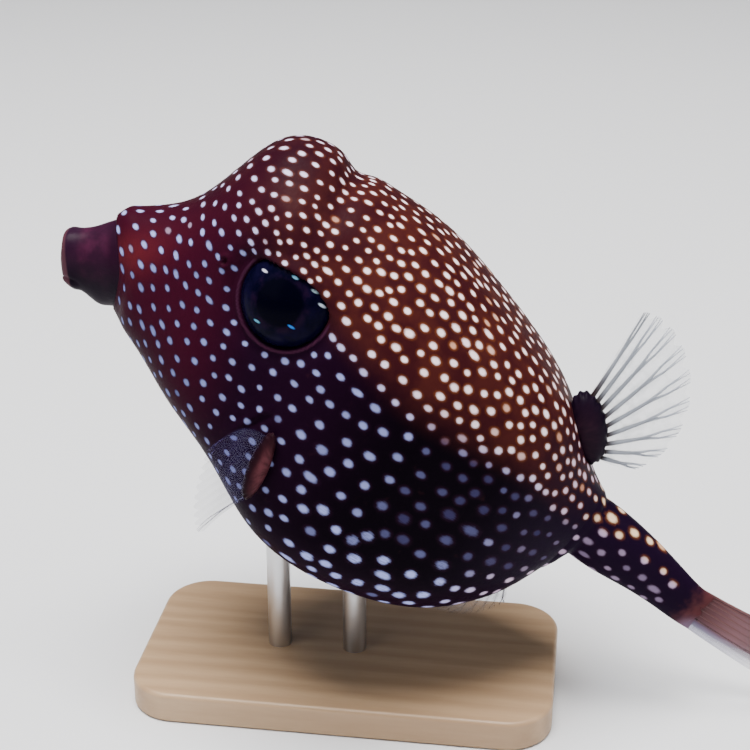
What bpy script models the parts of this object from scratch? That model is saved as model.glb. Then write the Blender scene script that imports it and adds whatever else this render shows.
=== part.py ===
"""White-spotted boxfish at life size, nose up as it swims, on a plain display stand.

The fish is drawn in its own frame, in millimetres: x from the mouth to the tail, y to its
right, z up, with the mouth's tip near the origin. An empty then tilts it over the stand.
"""
import math

import bpy
import bmesh
import numpy as np
from mathutils import Matrix, Vector

MM = 0.001
GAP = 0.3

# Pose over the stand: nose-up pitch in degrees, and the place of the mouth's tip in mm
PITCH = 33.0
MOUTH_TIP = (-27.0, 0.0, 54.3)

# Bony case by section, in mm: top x, top z, bottom x, bottom z, half width, and how square
# its upper and its lower half are
CASE_SECTIONS = (
    (3.35, 1.11, 8.00, -7.98, 2.98, 2.3, 2.3),
    (5.58, 3.61, 9.66, -8.63, 4.38, 2.3, 2.5),
    (9.52, 8.15, 11.66, -9.06, 6.19, 2.2, 2.8),
    (12.63, 16.81, 14.59, -9.97, 8.30, 2.2, 3.1),
    (17.84, 19.71, 18.65, -11.23, 10.41, 2.3, 3.4),
    (24.10, 19.25, 24.80, -12.94, 12.51, 2.5, 3.7),
    (31.31, 18.76, 31.47, -15.94, 14.36, 2.8, 3.8),
    (39.03, 16.78, 38.91, -16.83, 14.64, 3.0, 3.8),
    (46.46, 14.30, 46.52, -16.16, 12.85, 3.0, 3.7),
    (52.53, 11.30, 52.69, -14.27, 10.15, 2.9, 3.4),
    (57.31, 7.46, 57.87, -10.78, 6.50, 2.6, 2.8),
    (61.01, 5.12, 60.39, -6.39, 3.64, 2.4, 2.4),
)
LAST_SECTION = len(CASE_SECTIONS) - 1
TAPER = 0.16
NECK_SECTION = 5.52
SIDE_CROWDING = 0.2

# Brow over each eye: place along x, angle from the top, reach along x, spread and height
BROW_X = 18.5
BROW_ANGLE = math.radians(56.0)
BROW_REACH = 4.2
BROW_SPREAD = math.radians(13.0)
BROW_HEIGHT = 1.4

# Dip behind the forehead: place along x, half length, spread round the top and depth
NAPE_X = 21.0
NAPE_LENGTH = 1.7
NAPE_SPREAD = math.radians(55.0)
NAPE_DIP = 0.9

# Eye: section and angle of its middle on the case, radii across and deep, depth of its middle
EYE_SECTION = 4.58
EYE_ANGLE = math.radians(74.6)
EYE_RADIUS = 4.8
EYE_DEPTH = 3.2
EYE_SUNK = 1.8
ORBIT_RADIUS = 6.0
ORBIT_DENT = 0.9
LID_HEIGHT = 1.0
RIM_THICKNESS = 0.45

# Nostril and gill slit: section and angle on the case, sizes in mm
NOSTRIL_SECTION = 3.36
NOSTRIL_ANGLE = math.radians(78.0)
NOSTRIL_RADIUS = 0.75
GILL_SECTION = 5.15
GILL_ANGLE = math.radians(113.0)
GILL_LENGTH = 5.6
GILL_WIDTH = 0.6
GILL_DEPTH = 0.9

# Lips: middle, half height and half width at the root and at the front, tilt of both ends
LIP_ROOT = (5.77, -3.62)
LIP_FRONT = (1.25, -6.05)
LIP_ROOT_SIZE = (4.7, 2.8)
LIP_FRONT_SIZE = (2.9, 2.2)
LIP_TILT = math.radians(27.0)
MOUTH_LINE_ROOT = -2.9
MOUTH_LINE_FRONT = -1.55

# Tail stalk by section, in mm: x, middle z, half height, half width
STALK_SECTIONS = (
    (61.4, 0.8, 3.7, 3.0),
    (65.0, 0.6, 3.65, 2.7),
    (69.5, 0.35, 3.15, 2.1),
    (73.5, -0.15, 2.7, 1.5),
    (76.2, -0.5, 2.5, 1.1),
)

# Fins: ray counts, membrane and ray thickness at the root, and at the tips
DORSAL_RAYS = 9
ANAL_RAYS = 9
PECTORAL_RAYS = 10
CAUDAL_RAYS = 10
MEMBRANE = 0.55
RAY = 0.95
TIP = 0.34

# Stand: plate size, corner, edge, rod radius and the x of each rod in the world
PLATE = (46.0, 24.0, 3.5)
PLATE_CORNER = 5.0
PLATE_EDGE = 0.5
ROD_RADIUS = 1.3
ROD_X = (-8.0, 0.5)


def spline(values, at):
    """Natural cubic spline through values at 0, 1, 2 and on, read at the places in at."""
    values = np.asarray(values, dtype=float)
    count = len(values)
    matrix = np.eye(count)
    right = np.zeros(count)
    for i in range(1, count - 1):
        matrix[i, i - 1:i + 2] = (1.0, 4.0, 1.0)
        right[i] = 6.0 * (values[i - 1] - 2.0 * values[i] + values[i + 1])
    bend = np.linalg.solve(matrix, right)
    low = np.clip(np.floor(at).astype(int), 0, count - 2)
    b = at - low
    a = 1.0 - b
    curve = (a ** 3 - a) * bend[low] + (b ** 3 - b) * bend[low + 1]
    return a * values[low] + b * values[low + 1] + curve / 6.0


def smoothstep(low, high, value):
    """Ease from 0 at low to 1 at high."""
    t = np.clip((value - low) / (high - low), 0.0, 1.0)
    return t * t * (3.0 - 2.0 * t)


def plain_case(section, angle):
    """Points of the bony case before its orbits: section along it, angle from the top."""
    table = np.array(CASE_SECTIONS)
    columns = (spline(column, section) for column in table.T)
    top_x, top_z, bottom_x, bottom_z, half, crown, keel = columns
    cosine, sine = np.cos(angle), np.sin(angle)
    square = np.where(cosine > 0.0, crown, keel)
    reach = (np.abs(cosine) ** square + np.abs(sine) ** square) ** (-1.0 / square)
    up, out = reach * cosine, reach * sine
    half_x, half_z = (top_x - bottom_x) / 2.0, (top_z - bottom_z) / 2.0
    height = np.hypot(half_x, half_z)
    taper = TAPER * smoothstep(0.0, 5.0, section) * (1.0 - smoothstep(9.0, 11.0, section))
    side = half * out * (1.0 - taper * up)
    x = (top_x + bottom_x) / 2.0 + half_x * up
    z = (top_z + bottom_z) / 2.0 + half_z * up
    rise = up * height
    radius = np.hypot(rise, side) + 1e-9
    near = np.exp(-((x - BROW_X) / BROW_REACH) ** 2)
    swell = BROW_HEIGHT * near * np.exp(-((np.abs(angle) - BROW_ANGLE) / BROW_SPREAD) ** 2)
    dip = NAPE_DIP * np.exp(-((x - NAPE_X) / NAPE_LENGTH) ** 2 - (angle / NAPE_SPREAD) ** 4)
    lift = swell * rise / radius - dip
    x = x + lift * half_x / height
    z = z + lift * half_z / height
    side = side + swell * side / radius
    return np.stack([x, side, z], axis=-1)


def case_normals(section, angle):
    """Outward unit normals of the bony case."""
    step = 1e-3
    along = plain_case(section + step, angle) - plain_case(section - step, angle)
    around = plain_case(section, angle + step) - plain_case(section, angle - step)
    normal = np.cross(along, around)
    return normal / np.linalg.norm(normal, axis=-1, keepdims=True)


def case_points(section, angle, swell=0.0):
    """Points of the bony case with brow edges and orbits, moved out by swell."""
    section, angle = np.broadcast_arrays(np.asarray(section, float), np.asarray(angle, float))
    points = plain_case(section, angle)
    normals = case_normals(section, angle)
    offset = np.full(section.shape, float(swell))
    for side in (-1.0, 1.0):
        eye = plain_case(np.array(EYE_SECTION), np.array(side * EYE_ANGLE))
        distance = np.linalg.norm(points - eye, axis=-1)
        above = points[..., 2] - eye[2]
        dent = ORBIT_DENT * (1.0 - smoothstep(0.75 * ORBIT_RADIUS, ORBIT_RADIUS, distance))
        edge = smoothstep(2.2, 3.9, above) * (1.0 - smoothstep(4.6, 8.5, above))
        run = np.clip(np.abs(points[..., 0] - eye[0]) / ORBIT_RADIUS, 0.0, 1.0)
        lid = edge * (1.0 - run ** 2) ** 2 * (side * points[..., 1] > 0.0)
        offset = offset + (LID_HEIGHT + ORBIT_DENT) * lid - dent
    return points + normals * offset[..., None]


def frame_at(section, angle, depth=0.0):
    """Matrix of a spot on the case: local z points out, x runs toward the tail."""
    section, angle = np.array(float(section)), np.array(float(angle))
    point = plain_case(section, angle)
    out = Vector(case_normals(section, angle))
    along = plain_case(section + 0.01, angle) - point
    along = Vector(along - np.dot(along, out) * np.array(out)).normalized()
    across = out.cross(along)
    matrix = Matrix((along, across, out)).transposed().to_4x4()
    matrix.translation = Vector(point) - out * depth
    return matrix


def add_object(name, mesh):
    """Link a new object for the mesh."""
    item = bpy.data.objects.new(name, mesh)
    bpy.context.scene.collection.objects.link(item)
    return item


def add_mesh(name, points, faces):
    """Object from fish-frame points in mm and index faces, with its faces turned out."""
    mesh = bpy.data.meshes.new(name)
    mesh.from_pydata([Vector(p) * MM for p in points], [], faces)
    form = bmesh.new()
    form.from_mesh(mesh)
    bmesh.ops.recalc_face_normals(form, faces=form.faces)
    form.to_mesh(mesh)
    form.free()
    return add_object(name, mesh)


def add_rings(name, rings):
    """Closed loft through rings of points, with a flat face at each end."""
    count = len(rings[0])
    faces = [tuple(range(count))]
    for i in range(len(rings) - 1):
        for j in range(count):
            k = (j + 1) % count
            low, high = i * count, (i + 1) * count
            faces.append((low + j, low + k, high + k, high + j))
    last = (len(rings) - 1) * count
    faces.append(tuple(range(last + count - 1, last - 1, -1)))
    return add_mesh(name, [p for ring in rings for p in ring], faces)


def add_ball(name, radii, matrix, rings=10, sides=20):
    """Ellipsoid of the given radii in mm, placed by a matrix in mm."""
    form = bmesh.new()
    bmesh.ops.create_uvsphere(form, u_segments=sides, v_segments=rings, radius=1.0)
    bmesh.ops.scale(form, vec=radii, verts=form.verts)
    bmesh.ops.transform(form, matrix=matrix, verts=form.verts)
    bmesh.ops.scale(form, vec=(MM, MM, MM), verts=form.verts)
    mesh = bpy.data.meshes.new(name)
    form.to_mesh(mesh)
    form.free()
    return add_object(name, mesh)


def add_ring_tube(name, radius, thickness, matrix, sides=24, tube_sides=6):
    """Ring of round section in mm, around the local z of a matrix in mm."""
    points, faces = [], []
    for i in range(sides):
        turn = 2.0 * math.pi * i / sides
        for j in range(tube_sides):
            roll = 2.0 * math.pi * j / tube_sides
            reach = radius + thickness * math.cos(roll)
            spot = Vector((reach * math.cos(turn), reach * math.sin(turn), thickness * math.sin(roll)))
            points.append(matrix @ spot)
            here, there = i * tube_sides, ((i + 1) % sides) * tube_sides
            k = (j + 1) % tube_sides
            faces.append((here + j, here + k, there + k, there + j))
    return add_mesh(name, points, faces)


def keep_largest(mesh):
    """Drop every loose scrap of a mesh but its largest surface."""
    form = bmesh.new()
    form.from_mesh(mesh)
    left = set(form.verts)
    islands = []
    while left:
        island, queue = set(), [left.pop()]
        while queue:
            vert = queue.pop()
            island.add(vert)
            for edge in vert.link_edges:
                other = edge.other_vert(vert)
                if other in left:
                    left.discard(other)
                    queue.append(other)
        islands.append(island)
    islands.sort(key=len)
    scraps = [vert for island in islands[:-1] for vert in island]
    bmesh.ops.delete(form, geom=scraps, context="VERTS")
    form.to_mesh(mesh)
    form.free()


def combine(item, tools, operation):
    """Join the tools to an object, or cut them from it, and remove them."""
    group = bpy.data.collections.new("tools")
    bpy.context.scene.collection.children.link(group)
    for tool in tools:
        bpy.context.scene.collection.objects.unlink(tool)
        group.objects.link(tool)
    modifier = item.modifiers.new("combine", "BOOLEAN")
    modifier.operation = operation
    modifier.operand_type = "COLLECTION"
    modifier.collection = group
    modifier.solver = "EXACT"
    graph = bpy.context.evaluated_depsgraph_get()
    result = bpy.data.meshes.new_from_object(item.evaluated_get(graph))
    item.modifiers.clear()
    plain = item.data
    item.data = result
    bpy.data.meshes.remove(plain)
    for tool in tools:
        bpy.data.meshes.remove(tool.data)
    bpy.data.collections.remove(group)
    keep_largest(result)


def side_angles(count):
    """Angles round the case, closer together along the eyes and brows."""
    even = np.linspace(-math.pi, math.pi, count, endpoint=False)
    half = np.abs(even)
    shift = np.sin(2.0 * (half - EYE_ANGLE)) + math.sin(2.0 * EYE_ANGLE)
    return np.sign(even) * (half - SIDE_CROWDING * shift)


def case_loft(name, first, last, rings, sides, swell=0.0):
    """Loft of the bony case between two sections."""
    section = np.linspace(first, last, rings)[:, None]
    return add_rings(name, case_points(section, side_angles(sides)[None, :], swell))


def build_head():
    """Head up to the gill slits, with orbits, brow edges, nostrils and slits."""
    head = case_loft("head", 0.0, NECK_SECTION, 23, 52)
    rims, cuts = [], []
    for side in (-1.0, 1.0):
        rim = frame_at(EYE_SECTION, side * EYE_ANGLE, ORBIT_DENT)
        rims.append(add_ring_tube("eye_rim", EYE_RADIUS, RIM_THICKNESS, rim))
        nostril = frame_at(NOSTRIL_SECTION, side * NOSTRIL_ANGLE)
        rims.append(add_ring_tube("nostril_rim", NOSTRIL_RADIUS, RIM_THICKNESS * 0.8, nostril, 12))
        socket = tuple(r + GAP for r in (EYE_RADIUS, EYE_RADIUS, EYE_DEPTH))
        cuts.append(add_ball("socket", socket, frame_at(EYE_SECTION, side * EYE_ANGLE, EYE_SUNK)))
        pit = (NOSTRIL_RADIUS * 0.7, NOSTRIL_RADIUS * 0.7, NOSTRIL_RADIUS)
        cuts.append(add_ball("pit", pit, nostril, 6, 10))
        slit = (GILL_WIDTH / 2.0, GILL_LENGTH / 2.0, GILL_DEPTH)
        cuts.append(add_ball("slit", slit, frame_at(GILL_SECTION, side * GILL_ANGLE), 8, 12))
    combine(head, rims, "UNION")
    combine(head, cuts, "DIFFERENCE")
    return head


def build_eye(name, side):
    """One glossy eyeball, seated in its orbit."""
    radii = (EYE_RADIUS, EYE_RADIUS, EYE_DEPTH)
    return add_ball(name, radii, frame_at(EYE_SECTION, side * EYE_ANGLE, EYE_SUNK), 10, 24)


def lip_tube(name):
    """The whole short snout tube of the lips, before the mouth parts it."""
    angle = np.linspace(-math.pi, math.pi, 28, endpoint=False)
    up = Vector((-math.sin(LIP_TILT), 0.0, math.cos(LIP_TILT)))
    ahead = Vector((-math.cos(LIP_TILT), 0.0, -math.sin(LIP_TILT)))
    rings = []
    for t, bulge in ((0.0, 1.0), (0.35, 0.95), (0.7, 0.95), (0.88, 1.04), (1.0, 0.97), (1.08, 0.72)):
        x = LIP_ROOT[0] + (LIP_FRONT[0] - LIP_ROOT[0]) * t
        z = LIP_ROOT[1] + (LIP_FRONT[1] - LIP_ROOT[1]) * t
        high = (LIP_ROOT_SIZE[0] + (LIP_FRONT_SIZE[0] - LIP_ROOT_SIZE[0]) * t) * bulge
        wide = (LIP_ROOT_SIZE[1] + (LIP_FRONT_SIZE[1] - LIP_ROOT_SIZE[1]) * t) * bulge
        middle = Vector((x, 0.0, z)) + ahead * GAP
        rings.append([middle + up * (high * math.cos(a)) + Vector((0.0, wide * math.sin(a), 0.0))
                      for a in angle])
    return add_rings(name, rings)


def build_lip(name, above):
    """Upper or lower lip: the part of the tube on one side of the mouth's line."""
    item = lip_tube(name)
    up = Vector((-math.sin(LIP_TILT), 0.0, math.cos(LIP_TILT)))
    root = Vector((LIP_ROOT[0], 0.0, LIP_ROOT[1])) + up * MOUTH_LINE_ROOT
    front = Vector((LIP_FRONT[0], 0.0, LIP_FRONT[1])) + up * MOUTH_LINE_FRONT
    line = (front - root).normalized()
    normal = Vector((0.0, 1.0, 0.0)).cross(line)
    normal = normal if normal.z > 0.0 else -normal
    side = 1.0 if above else -1.0
    form = bmesh.new()
    form.from_mesh(item.data)
    bmesh.ops.bisect_plane(form, geom=form.verts[:] + form.edges[:] + form.faces[:],
                           plane_co=(root + normal * side * GAP / 2.0) * MM,
                           plane_no=-normal * side, clear_outer=True)
    bmesh.ops.holes_fill(form, edges=[edge for edge in form.edges if edge.is_boundary])
    bmesh.ops.recalc_face_normals(form, faces=form.faces)
    form.to_mesh(item.data)
    form.free()
    return item


def build_stalk():
    """Fleshy tail stalk behind the case."""
    table = np.array(STALK_SECTIONS)
    at = np.linspace(0.0, len(STALK_SECTIONS) - 1.0, 11)
    rows = np.stack([spline(column, at) for column in table.T], axis=-1)
    angle = np.linspace(-math.pi, math.pi, 24, endpoint=False)
    rings = [[(x, wide * math.sin(a), z + high * math.cos(a)) for a in angle]
             for x, z, high, wide in rows]
    return add_rings("tail_stalk", rings)


def axes_matrix(along, out, origin):
    """Matrix with local x along a fin's base, y out of the body and z to its side."""
    along, out = Vector(along).normalized(), Vector(out)
    out = (out - along * out.dot(along)).normalized()
    matrix = Matrix((along, out, along.cross(out))).transposed().to_4x4()
    matrix.translation = Vector(origin)
    return matrix


def build_fin(name, place, base, roots, fan, lengths, rays, sweep, lobe, steps=4, bunch=1.0):
    """Fin with raised rays: its roots lie on the rim of its base, an ellipse in its plane.

    place is the base's matrix, base its half length and height, roots and fan the first and
    last angle of the roots and of the rays in degrees, lengths the first, longest and last
    ray in mm, sweep how far the tips bend to the side, and lobe where the longest ray is.
    A bunch over 1 draws the first rays together.
    """
    columns = 4 * rays + 1
    front, back = [], []
    for i in range(columns):
        u = i / (columns - 1.0)
        crest = 0.5 - 0.5 * math.cos(2.0 * math.pi * rays * u)
        root = math.radians(roots[0] + (roots[1] - roots[0]) * u)
        turn = math.radians(fan[0] + (fan[1] - fan[0]) * u ** bunch)
        blend = math.sin(0.5 * math.pi * min(u / lobe, (1.0 - u) / (1.0 - lobe)))
        edge = lengths[0] if u < lobe else lengths[2]
        length = (edge + (lengths[1] - edge) * blend) * (0.93 + 0.07 * crest)
        start = Vector(((base[0] + GAP) * math.cos(root), base[1] * math.sin(root) + GAP, 0.0))
        heading = Vector((math.cos(turn), math.sin(turn), 0.0))
        for k in range(steps + 1):
            v = k / steps
            spot = start + heading * (length * v)
            spot.z = sweep * v * v
            thick = MEMBRANE + (RAY - MEMBRANE) * crest
            half = 0.5 * (thick + (TIP - thick) * v)
            front.append(place @ (spot + Vector((0.0, 0.0, half))))
            back.append(place @ (spot - Vector((0.0, 0.0, half))))
    rows = steps + 1
    far = columns * rows
    faces = []
    for i in range(columns - 1):
        for k in range(steps):
            a, b = i * rows + k, (i + 1) * rows + k
            faces += [(a, b, b + 1), (a, b + 1, a + 1)]
            faces += [(far + a, far + b + 1, far + b), (far + a, far + a + 1, far + b + 1)]
    border = [i * rows for i in range(columns)]
    border += [(columns - 1) * rows + k for k in range(1, rows)]
    border += [i * rows + steps for i in range(columns - 2, -1, -1)]
    border += list(range(steps - 1, 0, -1))
    for a, b in zip(border, border[1:] + border[:1]):
        faces += [(a, far + a, far + b), (a, far + b, b)]
    return add_mesh(name, front + back, faces)


def build_fin_base(name, place, radii, case):
    """Fleshy root of a fin, shaped to the case that it stands on."""
    item = add_ball(name, radii, place, 8, 16)
    combine(item, [case(GAP)], "DIFFERENCE")
    return item


def whole_case(swell):
    """Whole bony case, swollen, to cut what stands on it."""
    return case_loft("case", 0.0, float(LAST_SECTION), 42, 44, swell)


def build_median_fins():
    """Dorsal and anal fins on their fleshy bases."""
    front, rear = (52.95, 12.75), (57.85, 7.45)
    middle = Vector(((front[0] + rear[0]) / 2.0, 0.0, (front[1] + rear[1]) / 2.0))
    along = Vector((rear[0] - front[0], 0.0, rear[1] - front[1]))
    place = axes_matrix(along, (0.7, 0.0, 0.7), middle)
    base = (4.1, 2.0)
    dorsal = [build_fin_base("dorsal_base", place, (base[0], base[1], 1.9), whole_case),
              build_fin("dorsal_fin", place, base, (158.0, 22.0), (143.0, 56.0),
                        (10.3, 11.2, 3.6), DORSAL_RAYS, -0.8, 0.25, bunch=1.7)]
    low_front, low_rear = (53.8, -13.4), (59.0, -9.0)
    middle = Vector(((low_front[0] + low_rear[0]) / 2.0, 0.0, (low_front[1] + low_rear[1]) / 2.0))
    along = Vector((low_rear[0] - low_front[0], 0.0, low_rear[1] - low_front[1]))
    place = axes_matrix(along, (0.7, 0.0, -0.7), middle)
    base = (3.9, 2.0)
    anal = [build_fin_base("anal_base", place, (base[0], base[1], 1.7), whole_case),
            build_fin("anal_fin", place, base, (152.0, 40.0), (152.0, 100.0),
                      (5.8, 6.7, 4.7), ANAL_RAYS, 3.8, 0.4)]
    return dorsal + anal


def build_pectoral(label, side):
    """One pectoral fin, swept forward and down in its stroke, on its fleshy base."""
    point = case_points(5.68, side * math.radians(115.0))
    along = Vector((0.31, 0.0, -0.95))
    out = Vector((-0.74, side * 0.62, -0.24))
    place = axes_matrix(along, out, point)
    base = (3.7, 1.9)
    root = build_fin_base("pectoral_base_" + label, place, (base[0], base[1], 1.2), whole_case)
    fin = build_fin("pectoral_fin_" + label, place, base, (152.0, 28.0), (93.0, 64.0),
                    (7.3, 6.6, 6.7), PECTORAL_RAYS, 1.6 * side, 0.4)
    return [root, fin]


def build_caudal():
    """Tail fin, nearly closed, at the end of the stalk."""
    place = axes_matrix((0.0, 0.0, -1.0), (1.0, 0.0, 0.0), (76.2, 0.0, -0.5))
    return build_fin("caudal_fin", place, (2.2, 0.0), (170.0, 10.0), (95.5, 87.0),
                     (13.6, 15.2, 13.6), CAUDAL_RAYS, -0.8, 0.5, 6)


def build_plate():
    """Flat plate of the stand with rounded corners and a small bevelled edge."""
    length, width, height = PLATE
    points = []
    for z, inset in ((0.0, 0.0), (height - PLATE_EDGE, 0.0), (height, PLATE_EDGE)):
        ring = []
        for corner in range(4):
            cx = (length / 2.0 - PLATE_CORNER) * (1.0 if corner in (0, 3) else -1.0)
            cy = (width / 2.0 - PLATE_CORNER) * (1.0 if corner in (0, 1) else -1.0)
            for step in range(7):
                turn = math.radians(90.0 * corner + 15.0 * step)
                reach = PLATE_CORNER - inset
                ring.append((cx + reach * math.cos(turn), cy + reach * math.sin(turn), z))
        points.append(ring)
    return add_rings("stand_plate", points)


def build_rod(name, x, pose):
    """Upright rod from the plate to the belly, its end shaped to the belly."""
    low, high = PLATE[2] + GAP, 40.0
    turns = [2.0 * math.pi * i / 20 for i in range(20)]
    rings = [[(x + ROD_RADIUS * math.cos(a), ROD_RADIUS * math.sin(a), z) for a in turns]
             for z in (low, high)]
    rod = add_rings(name, rings)
    case = whole_case(GAP)
    case.data.transform(pose)
    combine(rod, [case], "DIFFERENCE")
    return rod


def dress(item, colour, roughness, metallic=0.0):
    """Give an object its own Principled material."""
    material = bpy.data.materials.new(item.name + "_finish")
    material.use_nodes = True
    shader = material.node_tree.nodes["Principled BSDF"]
    shader.inputs["Base Color"].default_value = (*colour, 1.0)
    shader.inputs["Roughness"].default_value = roughness
    shader.inputs["Metallic"].default_value = metallic
    item.data.materials.clear()
    item.data.materials.append(material)


FLESH_BROWN = (0.045, 0.014, 0.008)
DEEP_MAROON = (0.05, 0.010, 0.010)
EYE_BLUE_BLACK = (0.004, 0.006, 0.014)
FIN_GREY = (0.42, 0.40, 0.38)
FIN_ORANGE = (0.30, 0.13, 0.05)
PLATE_BLACK = (0.02, 0.02, 0.022)
ROD_STEEL = (0.62, 0.62, 0.62)


def build_all():
    """Clear the file, build the fish and its stand, and set the fish in its pose."""
    for item in list(bpy.data.objects):
        bpy.data.objects.remove(item, do_unlink=True)
    pose = bpy.data.objects.new("fish_pose", None)
    bpy.context.scene.collection.objects.link(pose)
    pose.location = Vector(MOUTH_TIP) * MM
    pose.rotation_euler = (0.0, math.radians(PITCH), 0.0)
    tilt = Matrix.Translation(pose.location) @ pose.rotation_euler.to_matrix().to_4x4()

    brown = [build_head(),
             case_loft("trunk", NECK_SECTION + 0.045, float(LAST_SECTION), 19, 44),
             build_stalk()]
    lips = [build_lip("upper_lip", True), build_lip("lower_lip", False)]
    eyes = [build_eye("eye_left", -1.0), build_eye("eye_right", 1.0)]
    median = build_median_fins()
    pectorals = build_pectoral("left", -1.0) + build_pectoral("right", 1.0)
    caudal = build_caudal()
    bases = [item for item in median + pectorals if "_base" in item.name]
    membranes = [item for item in median + pectorals if "_fin" in item.name]
    groups = ((brown, FLESH_BROWN, 0.35), (lips, DEEP_MAROON, 0.35),
              (eyes, EYE_BLUE_BLACK, 0.04), (bases, DEEP_MAROON, 0.45),
              (membranes, FIN_GREY, 0.3), ([caudal], FIN_ORANGE, 0.4))
    for items, colour, roughness in groups:
        for item in items:
            dress(item, colour, roughness)
            item.parent = pose

    dress(build_plate(), PLATE_BLACK, 0.4)
    dress(build_rod("stand_rod_front", ROD_X[0], tilt), ROD_STEEL, 0.25, 1.0)
    dress(build_rod("stand_rod_rear", ROD_X[1], tilt), ROD_STEEL, 0.25, 1.0)


build_all()
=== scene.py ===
"""Looks of a white-spotted boxfish at life size, nose up on its plain display stand.

Shapes are drawn in the fish's own frame, in millimetres: x from the mouth to the tail, y to
its right and z up. Pose.place turns them into the row frame, in metres.
"""
import functools
import logging
import math
from dataclasses import dataclass, field
from enum import Enum

import bmesh
import bpy
import numpy as np
from mathutils import Matrix, Vector


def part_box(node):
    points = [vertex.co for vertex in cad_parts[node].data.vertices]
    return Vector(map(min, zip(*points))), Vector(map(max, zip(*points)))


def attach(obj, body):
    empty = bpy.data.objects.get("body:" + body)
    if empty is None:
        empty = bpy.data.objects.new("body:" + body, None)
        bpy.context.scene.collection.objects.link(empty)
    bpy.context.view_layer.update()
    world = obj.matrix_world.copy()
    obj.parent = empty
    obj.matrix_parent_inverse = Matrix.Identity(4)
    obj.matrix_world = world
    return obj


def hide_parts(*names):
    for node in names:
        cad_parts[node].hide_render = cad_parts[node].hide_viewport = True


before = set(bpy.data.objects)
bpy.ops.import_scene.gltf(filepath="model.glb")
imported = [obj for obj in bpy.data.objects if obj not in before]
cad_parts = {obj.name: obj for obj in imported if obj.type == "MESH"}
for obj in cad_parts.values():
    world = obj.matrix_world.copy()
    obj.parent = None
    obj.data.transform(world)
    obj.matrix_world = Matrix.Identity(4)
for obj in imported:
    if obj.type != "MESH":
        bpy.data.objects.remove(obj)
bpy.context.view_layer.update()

LOG = logging.getLogger("boxfish")
MM = 0.001
BODY = "root"
SEED = 41
Material, Mesh, Socket = bpy.types.Material, bpy.types.Mesh, bpy.types.NodeSocket
Values = float | np.ndarray
Input = float | tuple | Socket


class Side(Enum):
    """A side of the fish, by the sign of y."""

    LEFT = -1.0
    RIGHT = 1.0


def spline(values: np.ndarray, at: np.ndarray) -> np.ndarray:
    """Read a natural cubic spline.

    Args:
        values: The spline's values at 0, 1, 2 and on.
        at: Where to read it.

    Returns:
        The values there.
    """
    values = np.asarray(values, dtype=float)
    count = len(values)
    matrix = np.eye(count)
    right = np.zeros(count)
    for i in range(1, count - 1):
        matrix[i, i - 1:i + 2] = (1.0, 4.0, 1.0)
        right[i] = 6.0 * (values[i - 1] - 2.0 * values[i] + values[i + 1])
    bend = np.linalg.solve(matrix, right)
    low = np.clip(np.floor(at).astype(int), 0, count - 2)
    b = at - low
    a = 1.0 - b
    curve = (a ** 3 - a) * bend[low] + (b ** 3 - b) * bend[low + 1]
    return a * values[low] + b * values[low + 1] + curve / 6.0


def smoothstep(low: Values, high: Values, value: Values) -> Values:
    """Ease from 0 at low to 1 at high."""
    t = np.clip((value - low) / (high - low), 0.0, 1.0)
    return t * t * (3.0 - 2.0 * t)


def soft_max(first: Values, second: Values, width: float) -> Values:
    """The larger of two values, rounded over the given width where they cross."""
    h = np.clip(0.5 + 0.5 * (first - second) / width, 0.0, 1.0)
    return second + (first - second) * h + width * h * (1.0 - h)


def bell(value: Values, middle: Values, width: float) -> Values:
    """Bell curve of height 1."""
    return np.exp(-((value - middle) / width) ** 2)


def between(first: Values, second: Values, share: Values) -> Values:
    """The value at a share of the way from one to another."""
    return first + (second - first) * share


def moved(matrix: Matrix, points: np.ndarray) -> np.ndarray:
    """Points moved by a matrix."""
    grid = np.array(matrix)
    return np.asarray(points, float) @ grid[:3, :3].T + grid[:3, 3]


@dataclass(frozen=True)
class Pose:
    """Where the fish hangs over its stand."""

    pitch: float = math.radians(33.0)
    mouth_tip: tuple = (-27.0, 0.0, 54.3)

    def matrix(self) -> Matrix:
        """Matrix from the fish's millimetres to the row frame's metres."""
        turn = Matrix.Rotation(self.pitch, 4, "Y")
        return Matrix.Scale(MM, 4) @ Matrix.Translation(self.mouth_tip) @ turn

    def place(self, points: np.ndarray) -> np.ndarray:
        """Points of the fish, in metres in the row frame."""
        return moved(self.matrix(), points)


POSE = Pose()


@dataclass(frozen=True)
class Spot:
    """A place on the case with its directions: toward the tail, up round the side, and out."""

    origin: np.ndarray
    along: np.ndarray
    up: np.ndarray
    out: np.ndarray

    def local(self, points: np.ndarray) -> tuple:
        """Distances of points along, up and out of the place."""
        offset = points - self.origin
        return offset @ self.along, offset @ self.up, offset @ self.out


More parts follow.
